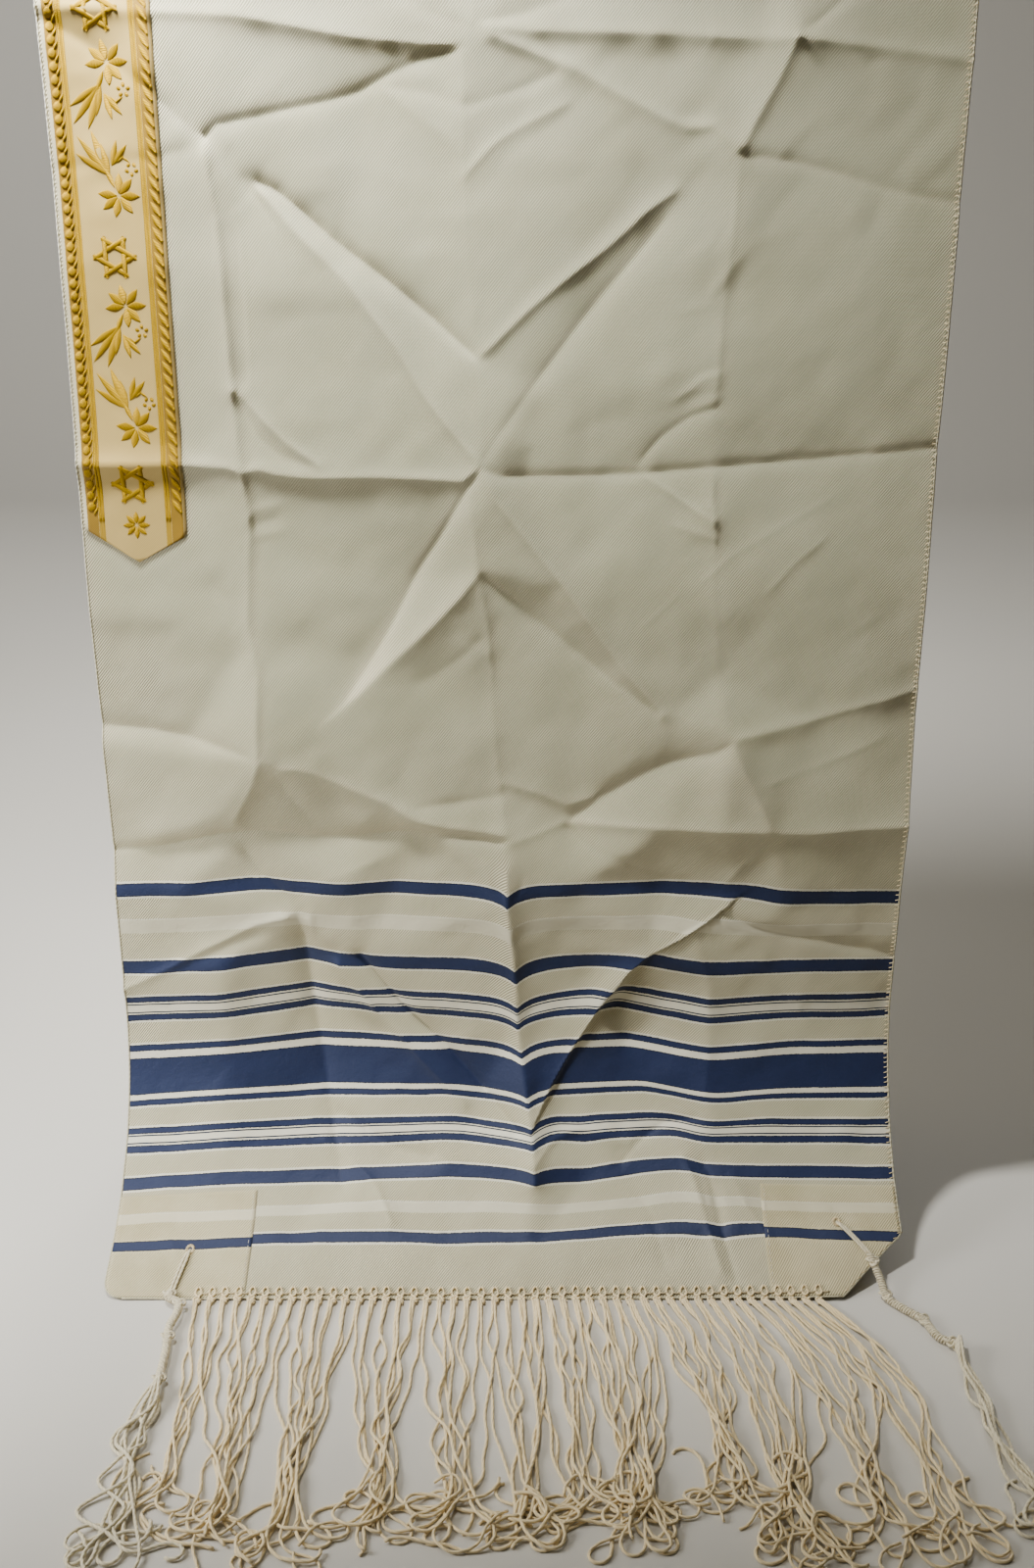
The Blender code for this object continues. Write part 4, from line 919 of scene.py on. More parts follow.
def add_tube(pile, path, radius, sides):
    """A closed round thread along a path. UV: once round, and the length along it in millimetres."""
    path = np.asarray(path, float)
    radius = np.broadcast_to(radius, len(path))
    ahead = np.gradient(path, axis=0)
    ahead /= np.maximum(np.linalg.norm(ahead, axis=1), 1e-9)[:, None]
    side = np.zeros_like(path)
    last = np.cross(ahead[0], (0.0, 0.0, 1.0))
    if np.linalg.norm(last) < 0.2:
        last = np.cross(ahead[0], (0.0, 1.0, 0.0))
    for i, direction in enumerate(ahead):
        last = last - direction * (last @ direction)
        last /= max(np.linalg.norm(last), 1e-9)
        side[i] = last
    up = np.cross(side, ahead)
    turn = math.tau * np.arange(sides) / sides
    ring = side[:, None] * np.cos(turn)[None, :, None] + up[:, None] * np.sin(turn)[None, :, None]
    points = (path[:, None] + ring * radius[:, None, None]).reshape(-1, 3)
    faces = grid_faces(len(path), sides, closed=True)
    travel = travelled(path)
    column = faces % sides
    around = np.where(column < column[:, :1], column + sides, column) / sides / MM
    corners = np.stack((around, travel[faces // sides]), axis=-1)
    low = [(0, i, i + 1, i + 2) for i in range(1, sides - 2, 2)]
    high = [tuple((len(path) - 1) * sides + i for i in reversed(cap)) for cap in low]
    caps = np.array(low + high)
    everything = np.concatenate((faces, caps))
    cap_corners = np.zeros((len(caps), 4, 2))
    cap_corners[..., 1] = travel[caps // sides]
    pile.add(points, everything, np.concatenate((corners, cap_corners)))


def smooth_path(points, step):
    """A smooth line through the points, with places about a step apart."""
    points = np.asarray(points, float)
    travel = travelled(points)
    slopes = np.gradient(points, travel, axis=0)
    wanted = np.linspace(0, travel[-1], max(int(travel[-1] / step), 2) + 1)
    i = np.clip(np.searchsorted(travel, wanted, side="right") - 1, 0, len(points) - 2)
    span = (travel[i + 1] - travel[i])[:, None]
    t = (wanted[:, None] - travel[i][:, None]) / span
    return (
        (2 * t**3 - 3 * t**2 + 1) * points[i]
        + (t**3 - 2 * t**2 + t) * span * slopes[i]
        + (3 * t**2 - 2 * t**3) * points[i + 1]
        + (t**3 - t**2) * span * slopes[i + 1]
    )


def add_node(tree, kind, *values, output=None, **named):
    """Adds a shader node and gives back its first output, or the one asked for.

    The values go to its inputs in order, and names with a capital are inputs too. Another node's output is
    linked. Names in small letters are the node's own settings.
    """
    node = tree.nodes.new("ShaderNode" + kind)
    for name, value in named.items():
        if name[0].islower():
            setattr(node, name, value)
    inputs = list(zip((socket for socket in node.inputs if socket.enabled), values))
    inputs += [(node.inputs[name], value) for name, value in named.items() if name[0].isupper()]
    for socket, value in inputs:
        if isinstance(value, bpy.types.NodeSocket):
            tree.links.new(value, socket)
        else:
            socket.default_value = value
    return node.outputs[output] if output else next(socket for socket in node.outputs if socket.enabled)


def tinted(colour, *shares):
    """A colour times one share, or times one share for each channel, with full opacity."""
    shares = shares if len(shares) == 3 else shares * 3
    return (*(channel * share for channel, share in zip(colour, shares)), 1.0)


def start_material(name, roughness, **sockets):
    """An empty material whose even values stand on the shader's own sockets, and what adds its nodes."""
    old = bpy.data.materials.get(name)
    if old:
        bpy.data.materials.remove(old)
    made = bpy.data.materials.new(name)
    made.use_nodes = True
    shader = made.node_tree.nodes["Principled BSDF"]
    shader.inputs["Roughness"].default_value = roughness
    for key, value in sockets.items():
        shader.inputs[key.replace("_", " ")].default_value = value
    return made, partial(add_node, made.node_tree)


def end_material(made, shade, bump=None):
    """Gives a material its colour and any bump."""
    shader = made.node_tree.nodes["Principled BSDF"]
    made.node_tree.links.new(shade, shader.inputs["Base Color"])
    if bump:
        made.node_tree.links.new(bump, shader.inputs["Normal"])
    return made


def flat_places(node):
    """Places on the piece's own UV map in millimetres: both together, then across and down alone."""
    flat = node("VectorMath", node("UVMap", uv_map="UVMap"), (1000, 1000, 1000), operation="MULTIPLY")
    across, down, _ = node("SeparateXYZ", flat).node.outputs
    return flat, across, down


def inside(node, value, zones):
    """One inside any of the zones along the value, and zero elsewhere."""
    total = None
    for start, end in zones:
        part = node("Math", value, (start + end) / 2, (end - start) / 2, operation="COMPARE")
        total = part if total is None else node("Math", total, part, operation="MAXIMUM")
    return total


def twill_material(name, colours, patch=False):
    """Ivory viscose satin twill: slanting ribs with painted shade in their furrows, dyed weft stripes with
    darker packed edges, satin bars with painted sheen, a soft sheen.

    The corner patches are of plainer cotton with the same stripe, yellower and more stained.
    """
    made, node = start_material(
        name, 0.62, Sheen_Weight=0.25, Sheen_Roughness=0.4, Specular_IOR_Level=0.35
    )
    flat, across, down = flat_places(node)
    # The threads shift from row to row, which gives the stripes fine teeth, and drift on the whole.
    teeth = node("Math", node("TexNoise", flat, 0.9, 1.0), 0.5, operation="SUBTRACT")
    wander = node("Math", node("TexNoise", flat, 0.03, 2.0), 0.5, operation="SUBTRACT")
    shift = node("Math", teeth, 0.7, operation="MULTIPLY")
    drift = node("Math", wander, 1.6, operation="MULTIPLY")
    thread = node("Math", node("Math", down, shift, operation="ADD"), drift, operation="ADD")
    kinds = {
        kind: [(a - more, b + more) for a, b, thread_kind in STRIPES if thread_kind == kind]
        for kind, more in WEFT_SPREAD.items()
    }
    blue = inside(node, thread, kinds["blue"])
    core = inside(node, thread, [(a + PACKED_EDGE, b - PACKED_EDGE) for a, b in kinds["blue"]])
    hair = inside(node, node("Math", down, drift, operation="ADD"), kinds["hair"])
    satin = inside(node, thread, kinds["satin"])
    satin_edge = inside(node, thread, [(a - 0.5, a + 0.4) for a, _ in kinds["satin"]])
    beside_blue = [(a - WHITE_EDGE, b + WHITE_EDGE) for a, b in kinds["blue"]]
    white = inside(node, thread, beside_blue + list(WHITE_LINES))
    slanted = node("Math", across, node("Math", down, TWILL_SLANT, operation="MULTIPLY"), operation="ADD")
    ribs = node("Math", node("Math", slanted, TWILL_RIBS, operation="MULTIPLY"), operation="SINE")
    ribbed = node("Math", 1.0, node("Math", white, satin, operation="MAXIMUM"), operation="SUBTRACT")
    weave = node("Math", ribs, ribbed, operation="MULTIPLY")
    cloth = colours.patch if patch else colours.ivory
    mottle = node("TexNoise", flat, 0.02, 4.0, 0.6)
    mottle = node("Math", mottle, 0.42, operation="SUBTRACT", use_clamp=True)
    stain = node("Math", mottle, 2.2 if patch else 0.9, operation="MULTIPLY", use_clamp=True)
    shade = node("Mix", stain, tinted(cloth, 1.0), tinted(cloth, 0.72, 0.68, 0.56), data_type="RGBA")
    # Painted shade: the twill's furrows are darkened along the ribs, over an even darkening of the cloth's
    # tone.
    painted_shade_share = node("Math", weave, 0.25, 0.19, operation="MULTIPLY_ADD")
    shade = node("Mix", painted_shade_share, shade, (0.0, 0.0, 0.0, 1.0), data_type="RGBA")
    # Painted sheen: the satin bars are painted paler, and a strip along their top edge paler still, as a
    # painted highlight.
    painted_sheen = ((satin, 0.3), (satin_edge, 0.5))
    for zone, strength in painted_sheen if patch else ((white, 0.75), *painted_sheen):
        share = node("Math", zone, strength, operation="MULTIPLY")
        shade = node("Mix", share, shade, tinted(colours.white, 1.0), data_type="RGBA")
    deep = tinted(colours.blue, 0.42)
    nap = node("Math", node("TexNoise", flat, 0.7, 2.0), 0.35, operation="MULTIPLY")
    dyed = node("Mix", nap, tinted(colours.blue, 1.0), deep, data_type="RGBA")
    dyed = node("Mix", node("Math", 1.0, core, operation="SUBTRACT"), dyed, deep, data_type="RGBA")
    shade = node("Mix", blue, shade, dyed, data_type="RGBA")
    shade = node("Mix", hair, shade, deep, data_type="RGBA")
    raised = node("Math", weave, 0.5, operation="MULTIPLY")
    height = node("Math", raised, node("TexNoise", flat, 0.35, 4.0, 0.65), operation="ADD")
    return end_material(made, shade, node("Bump", Height=height, Distance=0.3 * MM, Strength=0.9))


def band_material(colours):
    """Jacquard ribbon: fine tan cotton twill, gilt borders packed with metallic weft, pale selvedges.

    Painted shade darkens the ground's rib furrows and the borders' base between the raised stitches.
    """
    made, node = start_material("neckband_jacquard", 0.6, Sheen_Weight=0.15, Specular_IOR_Level=0.4)
    flat, across, down = flat_places(node)
    teeth = node("Math", node("TexNoise", flat, 1.1, 1.0), 0.6, -0.3, operation="MULTIPLY_ADD")
    thread = node("Math", across, teeth, operation="ADD")
    zones = {}
    for start, end, finish in BAND_ZONES:
        zones.setdefault(finish, []).append((start, end))
    gilded = inside(node, thread, zones["chain"] + zones["line"] + zones["rope"])
    lines, pale, edge = (inside(node, thread, zones[finish]) for finish in ("line", "selvedge", "edge"))
    slanted = node("Math", node("Math", across, down, operation="ADD"), RIBBON_RIBS, operation="MULTIPLY")
    rib = node("Math", slanted, operation="SINE")
    gilt, darker = tinted(colours.gilt, 1.0), tinted(colours.ground, 0.7)
    # Painted shade in the ribs' furrows of the ground, over an even darkening of its tone.
    painted_shade_share = node("Math", rib, 0.22, 0.25, operation="MULTIPLY_ADD")
    shade = node("Mix", painted_shade_share, tinted(colours.ground, 1.0), darker, data_type="RGBA")
    # Painted shade: the base of the gilt borders, seen between the raised stitches, is painted dark tan,
    # varied along the ribs.
    painted_shade_share = node("Math", rib, 0.15, 0.7, operation="MULTIPLY_ADD")
    border_base_shade = node("Mix", painted_shade_share, gilt, tinted(colours.gilt, 0.5, 0.42, 0.4), data_type="RGBA")
    shade = node("Mix", gilded, shade, border_base_shade, data_type="RGBA")
    finishes = ((lines, 0.8, gilt), (pale, 0.8, tinted(colours.ivory, 1.0)), (edge, 0.6, darker))
    for zone, strength, colour in finishes:
        share = node("Math", zone, strength, operation="MULTIPLY")
        shade = node("Mix", share, shade, colour, data_type="RGBA")
    wales = node("Math", node("Math", across, RIBBON_WALES, operation="MULTIPLY"), operation="SINE")
    raised = node("Math", rib, 0.5, operation="MULTIPLY")
    height = node("Math", raised, node("Math", wales, lines, operation="MULTIPLY"), operation="ADD")
    return end_material(made, shade, node("Bump", Height=height, Distance=0.1 * MM, Strength=0.6))


def gilt_material(colours):
    """Metallic embroidery weft: yellow floats side by side, with painted shade between the threads."""
    made, node = start_material("gilt_thread", 0.5, Metallic=0.25, Specular_IOR_Level=0.1)
    flat, across, down = flat_places(node)
    run = node("Math", down, GILT_FLOATS, operation="MULTIPLY")
    wobble = node("Math", node("TexNoise", flat, 0.5, 1.0), 4.0, operation="MULTIPLY")
    slant = node("Math", across, GILT_SLANT, operation="MULTIPLY")
    lean = node("Math", node("Math", run, wobble, operation="ADD"), slant, operation="ADD")
    floats = node("Math", lean, operation="SINE")
    # Painted shade between the floats, which darkens the gilt as a whole a little too.
    share = node("Math", floats, 0.28, 0.3, operation="MULTIPLY_ADD")
    shadow = tinted(colours.gilt, 0.55, 0.48, 0.6)
    shade = node("Mix", share, tinted(colours.gilt, 1.0), shadow, data_type="RGBA")
    return end_material(made, shade, node("Bump", Height=floats, Distance=0.15 * MM, Strength=0.7))


def yarn_material(name, colour, plies, pitch):
    """Twisted yarn: plies that wind round each other, with painted shade in the grooves and a fine hairy
    bloom.
    """
    made, node = start_material(name, 0.8, Sheen_Weight=0.35, Sheen_Roughness=0.5, Specular_IOR_Level=0.25)
    _, around, along = flat_places(node)
    turns = node("Math", around, plies * MM, operation="MULTIPLY")
    winding = node("Math", turns, node("Math", along, pitch, operation="DIVIDE"), operation="ADD")
    groove = node("Math", winding, 0.5, operation="PINGPONG")
    # Painted shade: the grooves between the plies are darkened.
    rounded = node("Math", groove, 3.2, operation="MULTIPLY")
    deep = node("Math", 1.0, rounded, operation="SUBTRACT", use_clamp=True)
    deep = node("Math", deep, 0.38, operation="MULTIPLY")
    uneven = node("TexNoise", node("TexCoord", output="Object"), 60.0, 3.0)
    shade = node("Mix", uneven, tinted(colour, 1.0), tinted(colour, 0.86), data_type="RGBA")
    shade = node("Mix", deep, shade, tinted(colour, 0.4), data_type="RGBA")
    return end_material(made, shade, node("Bump", Height=groove, Distance=0.5 * MM, Strength=0.8))


def painted_wood_material(colours):
    """Painted wooden rod: an even pale grey skin with a slight orange-peel texture from the spray."""
    made, node = start_material("painted_wood", 0.45, Specular_IOR_Level=0.5)
    spot = node("TexCoord", output="Object")
    scuffs = node("Math", node("TexNoise", spot, 25.0, 5.0), 0.3, operation="MULTIPLY")
    shade = node("Mix", scuffs, tinted(colours.rod, 1.0), tinted(colours.rod, 0.8), data_type="RGBA")
    peel = node("TexNoise", spot, 700.0, 2.0)
    return end_material(made, shade, node("Bump", Height=peel, Distance=0.08 * MM, Strength=0.4))


def paper_material(colours):
    """Matt background paper, faintly uneven."""
    made, node = start_material("background_paper", 0.9, Specular_IOR_Level=0.15)
    grain = node("TexNoise", node("TexCoord", output="Object"), 3.0, 2.0)
    share = node("Math", grain, 0.08, operation="MULTIPLY")
    shade = node("Mix", share, tinted(colours.floor, 1.0), tinted(colours.floor, 0.9), data_type="RGBA")
    return end_material(made, shade)


def millimetres(name):
    """A size property in millimetres."""
    return getattr(bpy.context.scene.shawl_sizes, name) / MM


def stand_in(obj):
    """The points and faces of a helper object, in its own units. The helper is removed."""
    mesh = obj.data
    points = np.array([tuple(v.co) for v in mesh.vertices])
    faces = [list(p.vertices) for p in mesh.polygons]
    bpy.data.objects.remove(obj)
    bpy.data.meshes.remove(mesh)
    return points, faces


def start_shape():
    bpy.ops.object.select_all(action="DESELECT")


def select_faces(obj, wanted):
    """In edit mode, selects the faces whose centre and normal the test accepts."""
    bm = bmesh.from_edit_mesh(obj.data)
    for face in bm.faces:
        face.select_set(bool(wanted(face.calc_center_median(), face.normal)))
    bmesh.update_edit_mesh(obj.data)


def domed_shape(sides, pointed):
    """A padded stitch one unit long, wide and high: a disc whose top is inset and raised twice.

    pointed runs from 0 for a round bead to 1 for a leaf drawn out to two tips.
    """
    start_shape()
    bpy.ops.mesh.primitive_cylinder_add(vertices=sides, radius=0.5, depth=0.3, location=(0, 0, 0.15))
    obj = bpy.context.object
    bpy.ops.object.transform_apply(location=True, rotation=True, scale=True)
    bpy.ops.object.mode_set(mode="EDIT")
    for thickness, depth in ((0.1, 0.4), (0.16, 0.25)):
        select_faces(obj, lambda centre, normal: normal.z > 0.9 and centre.z > 0.2)
        bpy.ops.mesh.inset(thickness=thickness, depth=depth)
    select_faces(obj, lambda centre, normal: normal.z > 0.9 and centre.z > 0.8)
    bpy.ops.mesh.poke(offset=0.05)
    bpy.ops.object.mode_set(mode="OBJECT")
    points, faces = stand_in(obj)
    along = np.abs(points[:, 1] * 2)
    points[:, 0] *= 1 - pointed * along**1.6 * 0.75
    return points, faces


def bar_shape():
    """One bar of an interlaced star, one unit long, wide and high, that goes over once and under once."""
    ring = np.array(BAR_RING)
    sides, last = len(ring), (len(BAR_STATIONS) - 1) * len(ring)
    points = np.concatenate(
        [np.column_stack((ring[:, 0] * w, np.full(sides, y), ring[:, 1] * h)) for y, w, h in BAR_STATIONS]
    )
    faces = [list(face[::-1]) for face in grid_faces(len(BAR_STATIONS), sides, closed=True)]
    start_cap = [[0, 1, 2, 3], [0, 3, 4, 5]]
    return points, faces + start_cap + [[last + i for i in reversed(cap)] for cap in start_cap]


def stamp(pile, shape, across, along, turn, width, length, rise=MOTIF_RISE, offset=BAND_HIGH - SUNK):
    """Lays a copy of a shape on the cloth. turn is clockwise from straight up, as seen from outside."""
    points, faces = shape
    x, y = points[:, 0] * width, points[:, 1] * length
    right = x * math.cos(turn) + y * math.sin(turn)
    up = y * math.cos(turn) - x * math.sin(turn)
    laid = place(across + right, along - up, offset + points[:, 2] * rise)
    flat = np.stack((x, y), axis=-1)
    pile.add(laid, faces, np.concatenate([flat[face] for face in faces]))


def half_edges(down):
    """The left and right limits of the cloth at a place down, seen from that half's own side."""
    low = HALF_LENGTH - CORNER_RADIUS
    dip = np.clip((down - low) / CORNER_RADIUS, 0, 1)
    left = CORNER_RADIUS * (1 - np.sqrt(1 - dip**2))
    cut = np.clip((down - HALF_LENGTH + CORNER_CUT_DOWN) / CORNER_CUT_DOWN, 0, 1)
    return left, WIDTH - CORNER_CUT_ACROSS * cut


def places_between(left, right, downs, columns):
    """A grid of places with even columns between two edges."""
    share = np.linspace(0, 1, columns)
    return left[:, None] + (right - left)[:, None] * share, np.repeat(downs[:, None], columns, axis=1)


def on_half(side, across, down, offset):
    """Points of the front half for side 1 or the back half for side -1, seen from that half's own side."""
    return place(across if side > 0 else WIDTH - across, side * down, offset)


class SHAWL_OT_cloth(bpy.types.Operator):
    """Lays the front and back halves of the shawl over the rod"""

    bl_idname = "shawl.cloth"
    bl_label = "Shawl Cloth"

    def execute(self, context):
        material = twill_material("satin_twill", context.scene.shawl_colours)
        for half, side, columns, upper, lower in SHEETS:
            upper_downs = np.linspace(0, SHEET_SPLIT, upper)
            downs = np.concatenate((upper_downs, np.linspace(SHEET_SPLIT, HALF_LENGTH, lower)[1:]))
            across, down = places_between(*half_edges(downs), downs, columns)
            points = on_half(side, across, down, 0.0)
            normals = np.cross(np.gradient(points, axis=0), np.gradient(points, axis=1))
            normals /= np.linalg.norm(normals, axis=-1)[..., None]
            for part, rows in (("upper", slice(0, upper)), ("lower", slice(upper - 1, None))):
                faces = grid_faces(*across[rows].shape)
                flat = np.stack((across[rows], down[rows]), axis=-1).reshape(-1, 2)
                pile = Pile()
                pile.add(points[rows].reshape(-1, 3), faces, flat[faces])
                made = pile.made(f"shawl_{half}_{part}", material, normals[rows].reshape(-1, 3))
                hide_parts("shawl_cloth")
        return {"FINISHED"}


class SHAWL_OT_neckband(bpy.types.Operator):
    """Lays the woven ribbon along the left long edge, down both halves"""

    bl_idname = "shawl.neckband"
    bl_label = "Neckband"

    def execute(self, context):
        downs = np.linspace(-BAND_TIP_DOWN, BAND_TIP_DOWN, BAND_ROWS)
        edges = []
        for start, slant in ((BAND_INSET, 0.0), (BAND_INSET + BAND_WIDTH, BAND_SLANT)):
            shoulder = BAND_SHOULDER_DOWN + slant
            share = np.clip((np.abs(downs) - shoulder) / (BAND_TIP_DOWN - shoulder), 0, 1)
            edges.append(start + (BAND_TIP_ACROSS - start) * share)
        left, right = edges
        right = np.maximum(right, left + BAND_TIP_WIDTH)
        across, along = places_between(left, right, downs, BAND_COLUMNS)
        pile = Pile()
        lay_shell(pile, across, along, BAND_LOW, BAND_HIGH, (across - BAND_INSET, along))
        made = pile.made("neckband_ribbon", band_material(context.scene.shawl_colours))
        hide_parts("neckband")
        return {"FINISHED"}


class SHAWL_OT_band_motifs(bpy.types.Operator):
    """Lays the raised stars, sprigs and border ornaments on the neckband"""

    bl_idname = "shawl.band_motifs"
    bl_label = "Neckband Motifs"

    def execute(self, context):
        material = gilt_material(context.scene.shawl_colours)
        shapes = {"leaf": domed_shape(12, 1.0), "bead": domed_shape(8, 0.0), "bar": bar_shape()}
        limit = BAND_SHOULDER_DOWN - BAND_BARE
        pitch = millimetres("star_pitch")
        motifs, borders = Pile(), Pile()
        stars = np.arange(FIRST_STAR_DOWN, -limit, -pitch)
        for star in stars:
            self.star(motifs, shapes["bar"], BAND_INSET + BAND_WIDTH / 2, star)
        for star in np.append(stars, stars[-1] - pitch):
            for down, leaves_down, across in SPRIGS:
                self.sprig(motifs, shapes, BAND_INSET + across, star + down, leaves_down, limit)
        from_tip, petals, length, width = END_FLOWER
        for along in (BAND_TIP_DOWN - from_tip, -BAND_TIP_DOWN + from_tip):
            for i in range(petals):
                turn = math.radians(360 / petals * i)
                self.petal(motifs, shapes["leaf"], BAND_TIP_ACROSS, along, turn, length, width)
        for i, along in enumerate(np.arange(-limit, limit, millimetres("border_pitch"))):
            for shape, x, down, turn, width, uneven, length in BORDER_STITCHES:
                spot = (BAND_INSET + x, along + down, turn)
                width *= 1 + uneven * math.sin(i * 1.9)
                stamp(borders, shapes[shape], *spot, width, length, BEAD_RISE, BAND_HIGH)
        self.lines(borders, limit + LINE_OVERRUN)
        made = motifs.made("neckband_motifs", material)
        trim = borders.made("neckband_borders", material)
        return {"FINISHED"}

    def lines(self, pile, limit):
        """Each gilt line of the borders as two flat cords side by side."""
        downs = np.linspace(-limit, limit, LINE_ROWS)
        along = np.repeat(downs[:, None], len(LINE_RISE), axis=1)
        for start, end, finish in BAND_ZONES:
            if finish == "line":
                middle = (start + end) / 2
                for low, high in ((start, middle - LINE_GAP), (middle + LINE_GAP, end)):
                    row = [[low, low + LINE_BEVEL, high - LINE_BEVEL, high]]
                    across = np.repeat(row, LINE_ROWS, axis=0) + BAND_INSET
                    lay_shell(pile, across, along, BAND_HIGH - SUNK, BAND_HIGH + np.array([LINE_RISE]))

    def star(self, pile, bar, across, along):
        """Two triangles of three bars each, woven over and under each other."""
        inner = STAR_RADIUS * math.cos(math.radians(60)) - STAR_BAR / 2
        length = 2 * STAR_RADIUS * math.sin(math.radians(60))
        for i in range(6):
            turn = math.radians(60 * i)
            x, up = inner * math.cos(turn), -inner * math.sin(turn)
            stamp(pile, bar, across + x, along - up, turn, STAR_BAR, length)

    def petal(self, pile, leaf, across, along, turn, length, width):
        middle = length / 2 + PETAL_GAP
        x, up = middle * math.sin(turn), middle * math.cos(turn)
        stamp(pile, leaf, across + x, along - up, turn, width, length)

    def sprig(self, pile, shapes, across, along, leaves_down, limit):
        """A flower with its stem, leaves and floret, left out where it would run past the border."""
        flip = 1 if leaves_down else -1
        if max(abs(along), abs(along + SPRIG_REACH * flip)) > limit:
            return
        for turn in PETAL_TURNS:
            angle = math.radians(turn if leaves_down else 180 - turn)
            self.petal(pile, shapes["leaf"], across, along, angle, PETAL_LENGTH, PETAL_WIDTH)
        for base_x, base_y, tip_x, tip_y, width in SPRIG_LEAVES + FLORET_STEM:
            run_x, run_y = tip_x - base_x, (tip_y - base_y) * flip
            x, up = (base_x + tip_x) / 2, (base_y + tip_y) / 2 * flip
            turn, length = math.atan2(run_x, run_y), math.hypot(run_x, run_y) + LEAF_OVERLAP
            stamp(pile, shapes["leaf"], across + x, along - up, turn, width, length)
        for i in range(FLORET_DOTS):
            turn = math.tau * i / FLORET_DOTS
            x = FLORET_CENTRE[0] + FLORET_RADIUS * math.sin(turn)
            up = (FLORET_CENTRE[1] + FLORET_RADIUS * math.cos(turn)) * flip
            stamp(pile, shapes["bead"], across + x, along - up, turn, *FLORET_DOT, MOTIF_RISE * 0.8)


class SHAWL_OT_patches(bpy.types.Operator):
    """Lays the plain reinforcing patches at the four corners, with their seams"""

    bl_idname = "shawl.patches"
    bl_label = "Corner Patches"

    def execute(self, context):
        colours = context.scene.shawl_colours
        cotton = twill_material("patch_cotton", colours, patch=True)
        thread = yarn_material("seam_thread", colours.white, 2, 1.2)
        downs = np.linspace(PATCH_DOWN + 0.5, HALF_LENGTH - PATCH_SHY, PATCH_ROWS)
        left, right = half_edges(downs)
        seams = Pile()
        for half, side in (("front", 1), ("back", -1)):
            for at_left in (True, False):
                inner = PATCH_WIDTH if at_left else WIDTH - PATCH_WIDTH
                inside = np.full(PATCH_ROWS, inner)
                edges = (left + PATCH_SHY, inside) if at_left else (inside, right - PATCH_SHY)
                across, down = places_between(*edges, downs, PATCH_COLUMNS)
                seen = across if side > 0 else WIDTH - across
                flat = (across, down - PATCH_STRIPE_SHIFT)
                pile = Pile()
                lay_shell(pile, seen, side * down, PATCH_LOW, PATCH_HIGH, flat)
                edge = "left" if at_left == (side > 0) else "right"
                made = pile.made(f"patch_{half}_{edge}", cotton)
                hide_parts(f"corner_patch_{half}_{edge}")
                seam = inner - SEAM_INSET if at_left else inner + SEAM_INSET
                for start in np.arange(PATCH_DOWN + 3, HALF_LENGTH - 4, SEAM_PITCH):
                    stitch = start + np.linspace(0, SEAM_LENGTH, len(SEAM_RISE))
                    rise = PATCH_HIGH + np.array(SEAM_RISE)
                    add_tube(seams, on_half(side, seam, stitch, rise), SEAM_RADIUS, 4)
        made = seams.made("patch_seams", thread)
        return {"FINISHED"}


def on_floor(across, forward, height):
    """Points in front of the front hem: forward from the hem, and height over the floor."""
    across, forward, height = np.broadcast_arrays(across, forward, height)
    return np.stack((across - WIDTH / 2, -HEM_OUT - forward, FLOOR + height), axis=-1)


def turned(points):
    """Points of the front half turned round to the back half."""
    return points * np.array((-1.0, -1.0, 1.0))


def evened(values, shares):
    """Each value as a weighted mean of itself and its neighbours."""
    padded = np.pad(values, len(shares) // 2, mode="edge")
    return sum(share * padded[i : i + len(values)] for i, share in enumerate(shares))


class Heap:
    """How high the yarns already lie on the floor in front of a hem, on a grid of half millimetres."""

    def __init__(self):
        self.origin = np.array(HEAP_ORIGIN)
        self.top = np.zeros(HEAP_CELLS)

    def lay(self, path, radius):
        """Heights of the yarn's middle line along a flat path: on the floor, or on what lies there."""
        cells = ((path - self.origin) * CELLS_PER_MM).astype(int)
        cells = np.clip(cells, HEAP_MARGIN, np.array(HEAP_CELLS) - HEAP_MARGIN - 1)
        heights = np.empty(len(path))
        half = max(int(radius * CELLS_PER_MM), 1)
        for i, (a, f) in enumerate(cells):
            heights[i] = self.top[a - 1 : a + 2, f - 1 : f + 2].max() + radius
            if i >= YARN_LAG:
                a, f = cells[i - YARN_LAG]
                patch = self.top[a - half : a + half + 1, f - half : f + half + 1]
                np.maximum(patch, min(heights[i - YARN_LAG] + radius * HEAP_PRESS, HEAP_LIMIT), out=patch)
        for a, f in cells[-YARN_LAG:]:
            patch = self.top[a - half : a + half + 1, f - half : f + half + 1]
            np.maximum(patch, radius * 2, out=patch)
        padded = np.pad(heights, 2, mode="edge")
        raised = np.max([padded[i : i + len(heights)] for i in range(5)], axis=0)
        return evened(raised, (0.1, 0.22, 0.36, 0.22, 0.1))


def curled(rng, start, heading, length, home, reach):
    """A yarn's loose end on the floor: bends that change sides now and then, kept near its own clump."""
    points, angle = [np.array(start, float)], heading
    bend, wanted, left = 0.0, rng.choice((-1, 1)) / rng.uniform(*CURL_RADIUS), rng.uniform(*FIRST_RUN)
    for _ in range(int(length / YARN_STEP)):
        left -= YARN_STEP
        if left < 0:
            change = -1 if rng.random() < SIDE_CHANGE else 1
            wanted = change * np.sign(wanted) / rng.uniform(*CURL_RADIUS)
            left = rng.uniform(*CURL_RUN)
        bend += (wanted - bend) * BEND_GAIN
        angle += bend * YARN_STEP
        away = points[-1] - home
        if np.hypot(*away) > reach:
            inward = math.atan2(-away[0], -away[1])
            angle += HOME_PULL * math.sin(inward - angle)
        points.append(points[-1] + YARN_STEP * np.array((math.sin(angle), math.cos(angle))))
    return np.array(points)


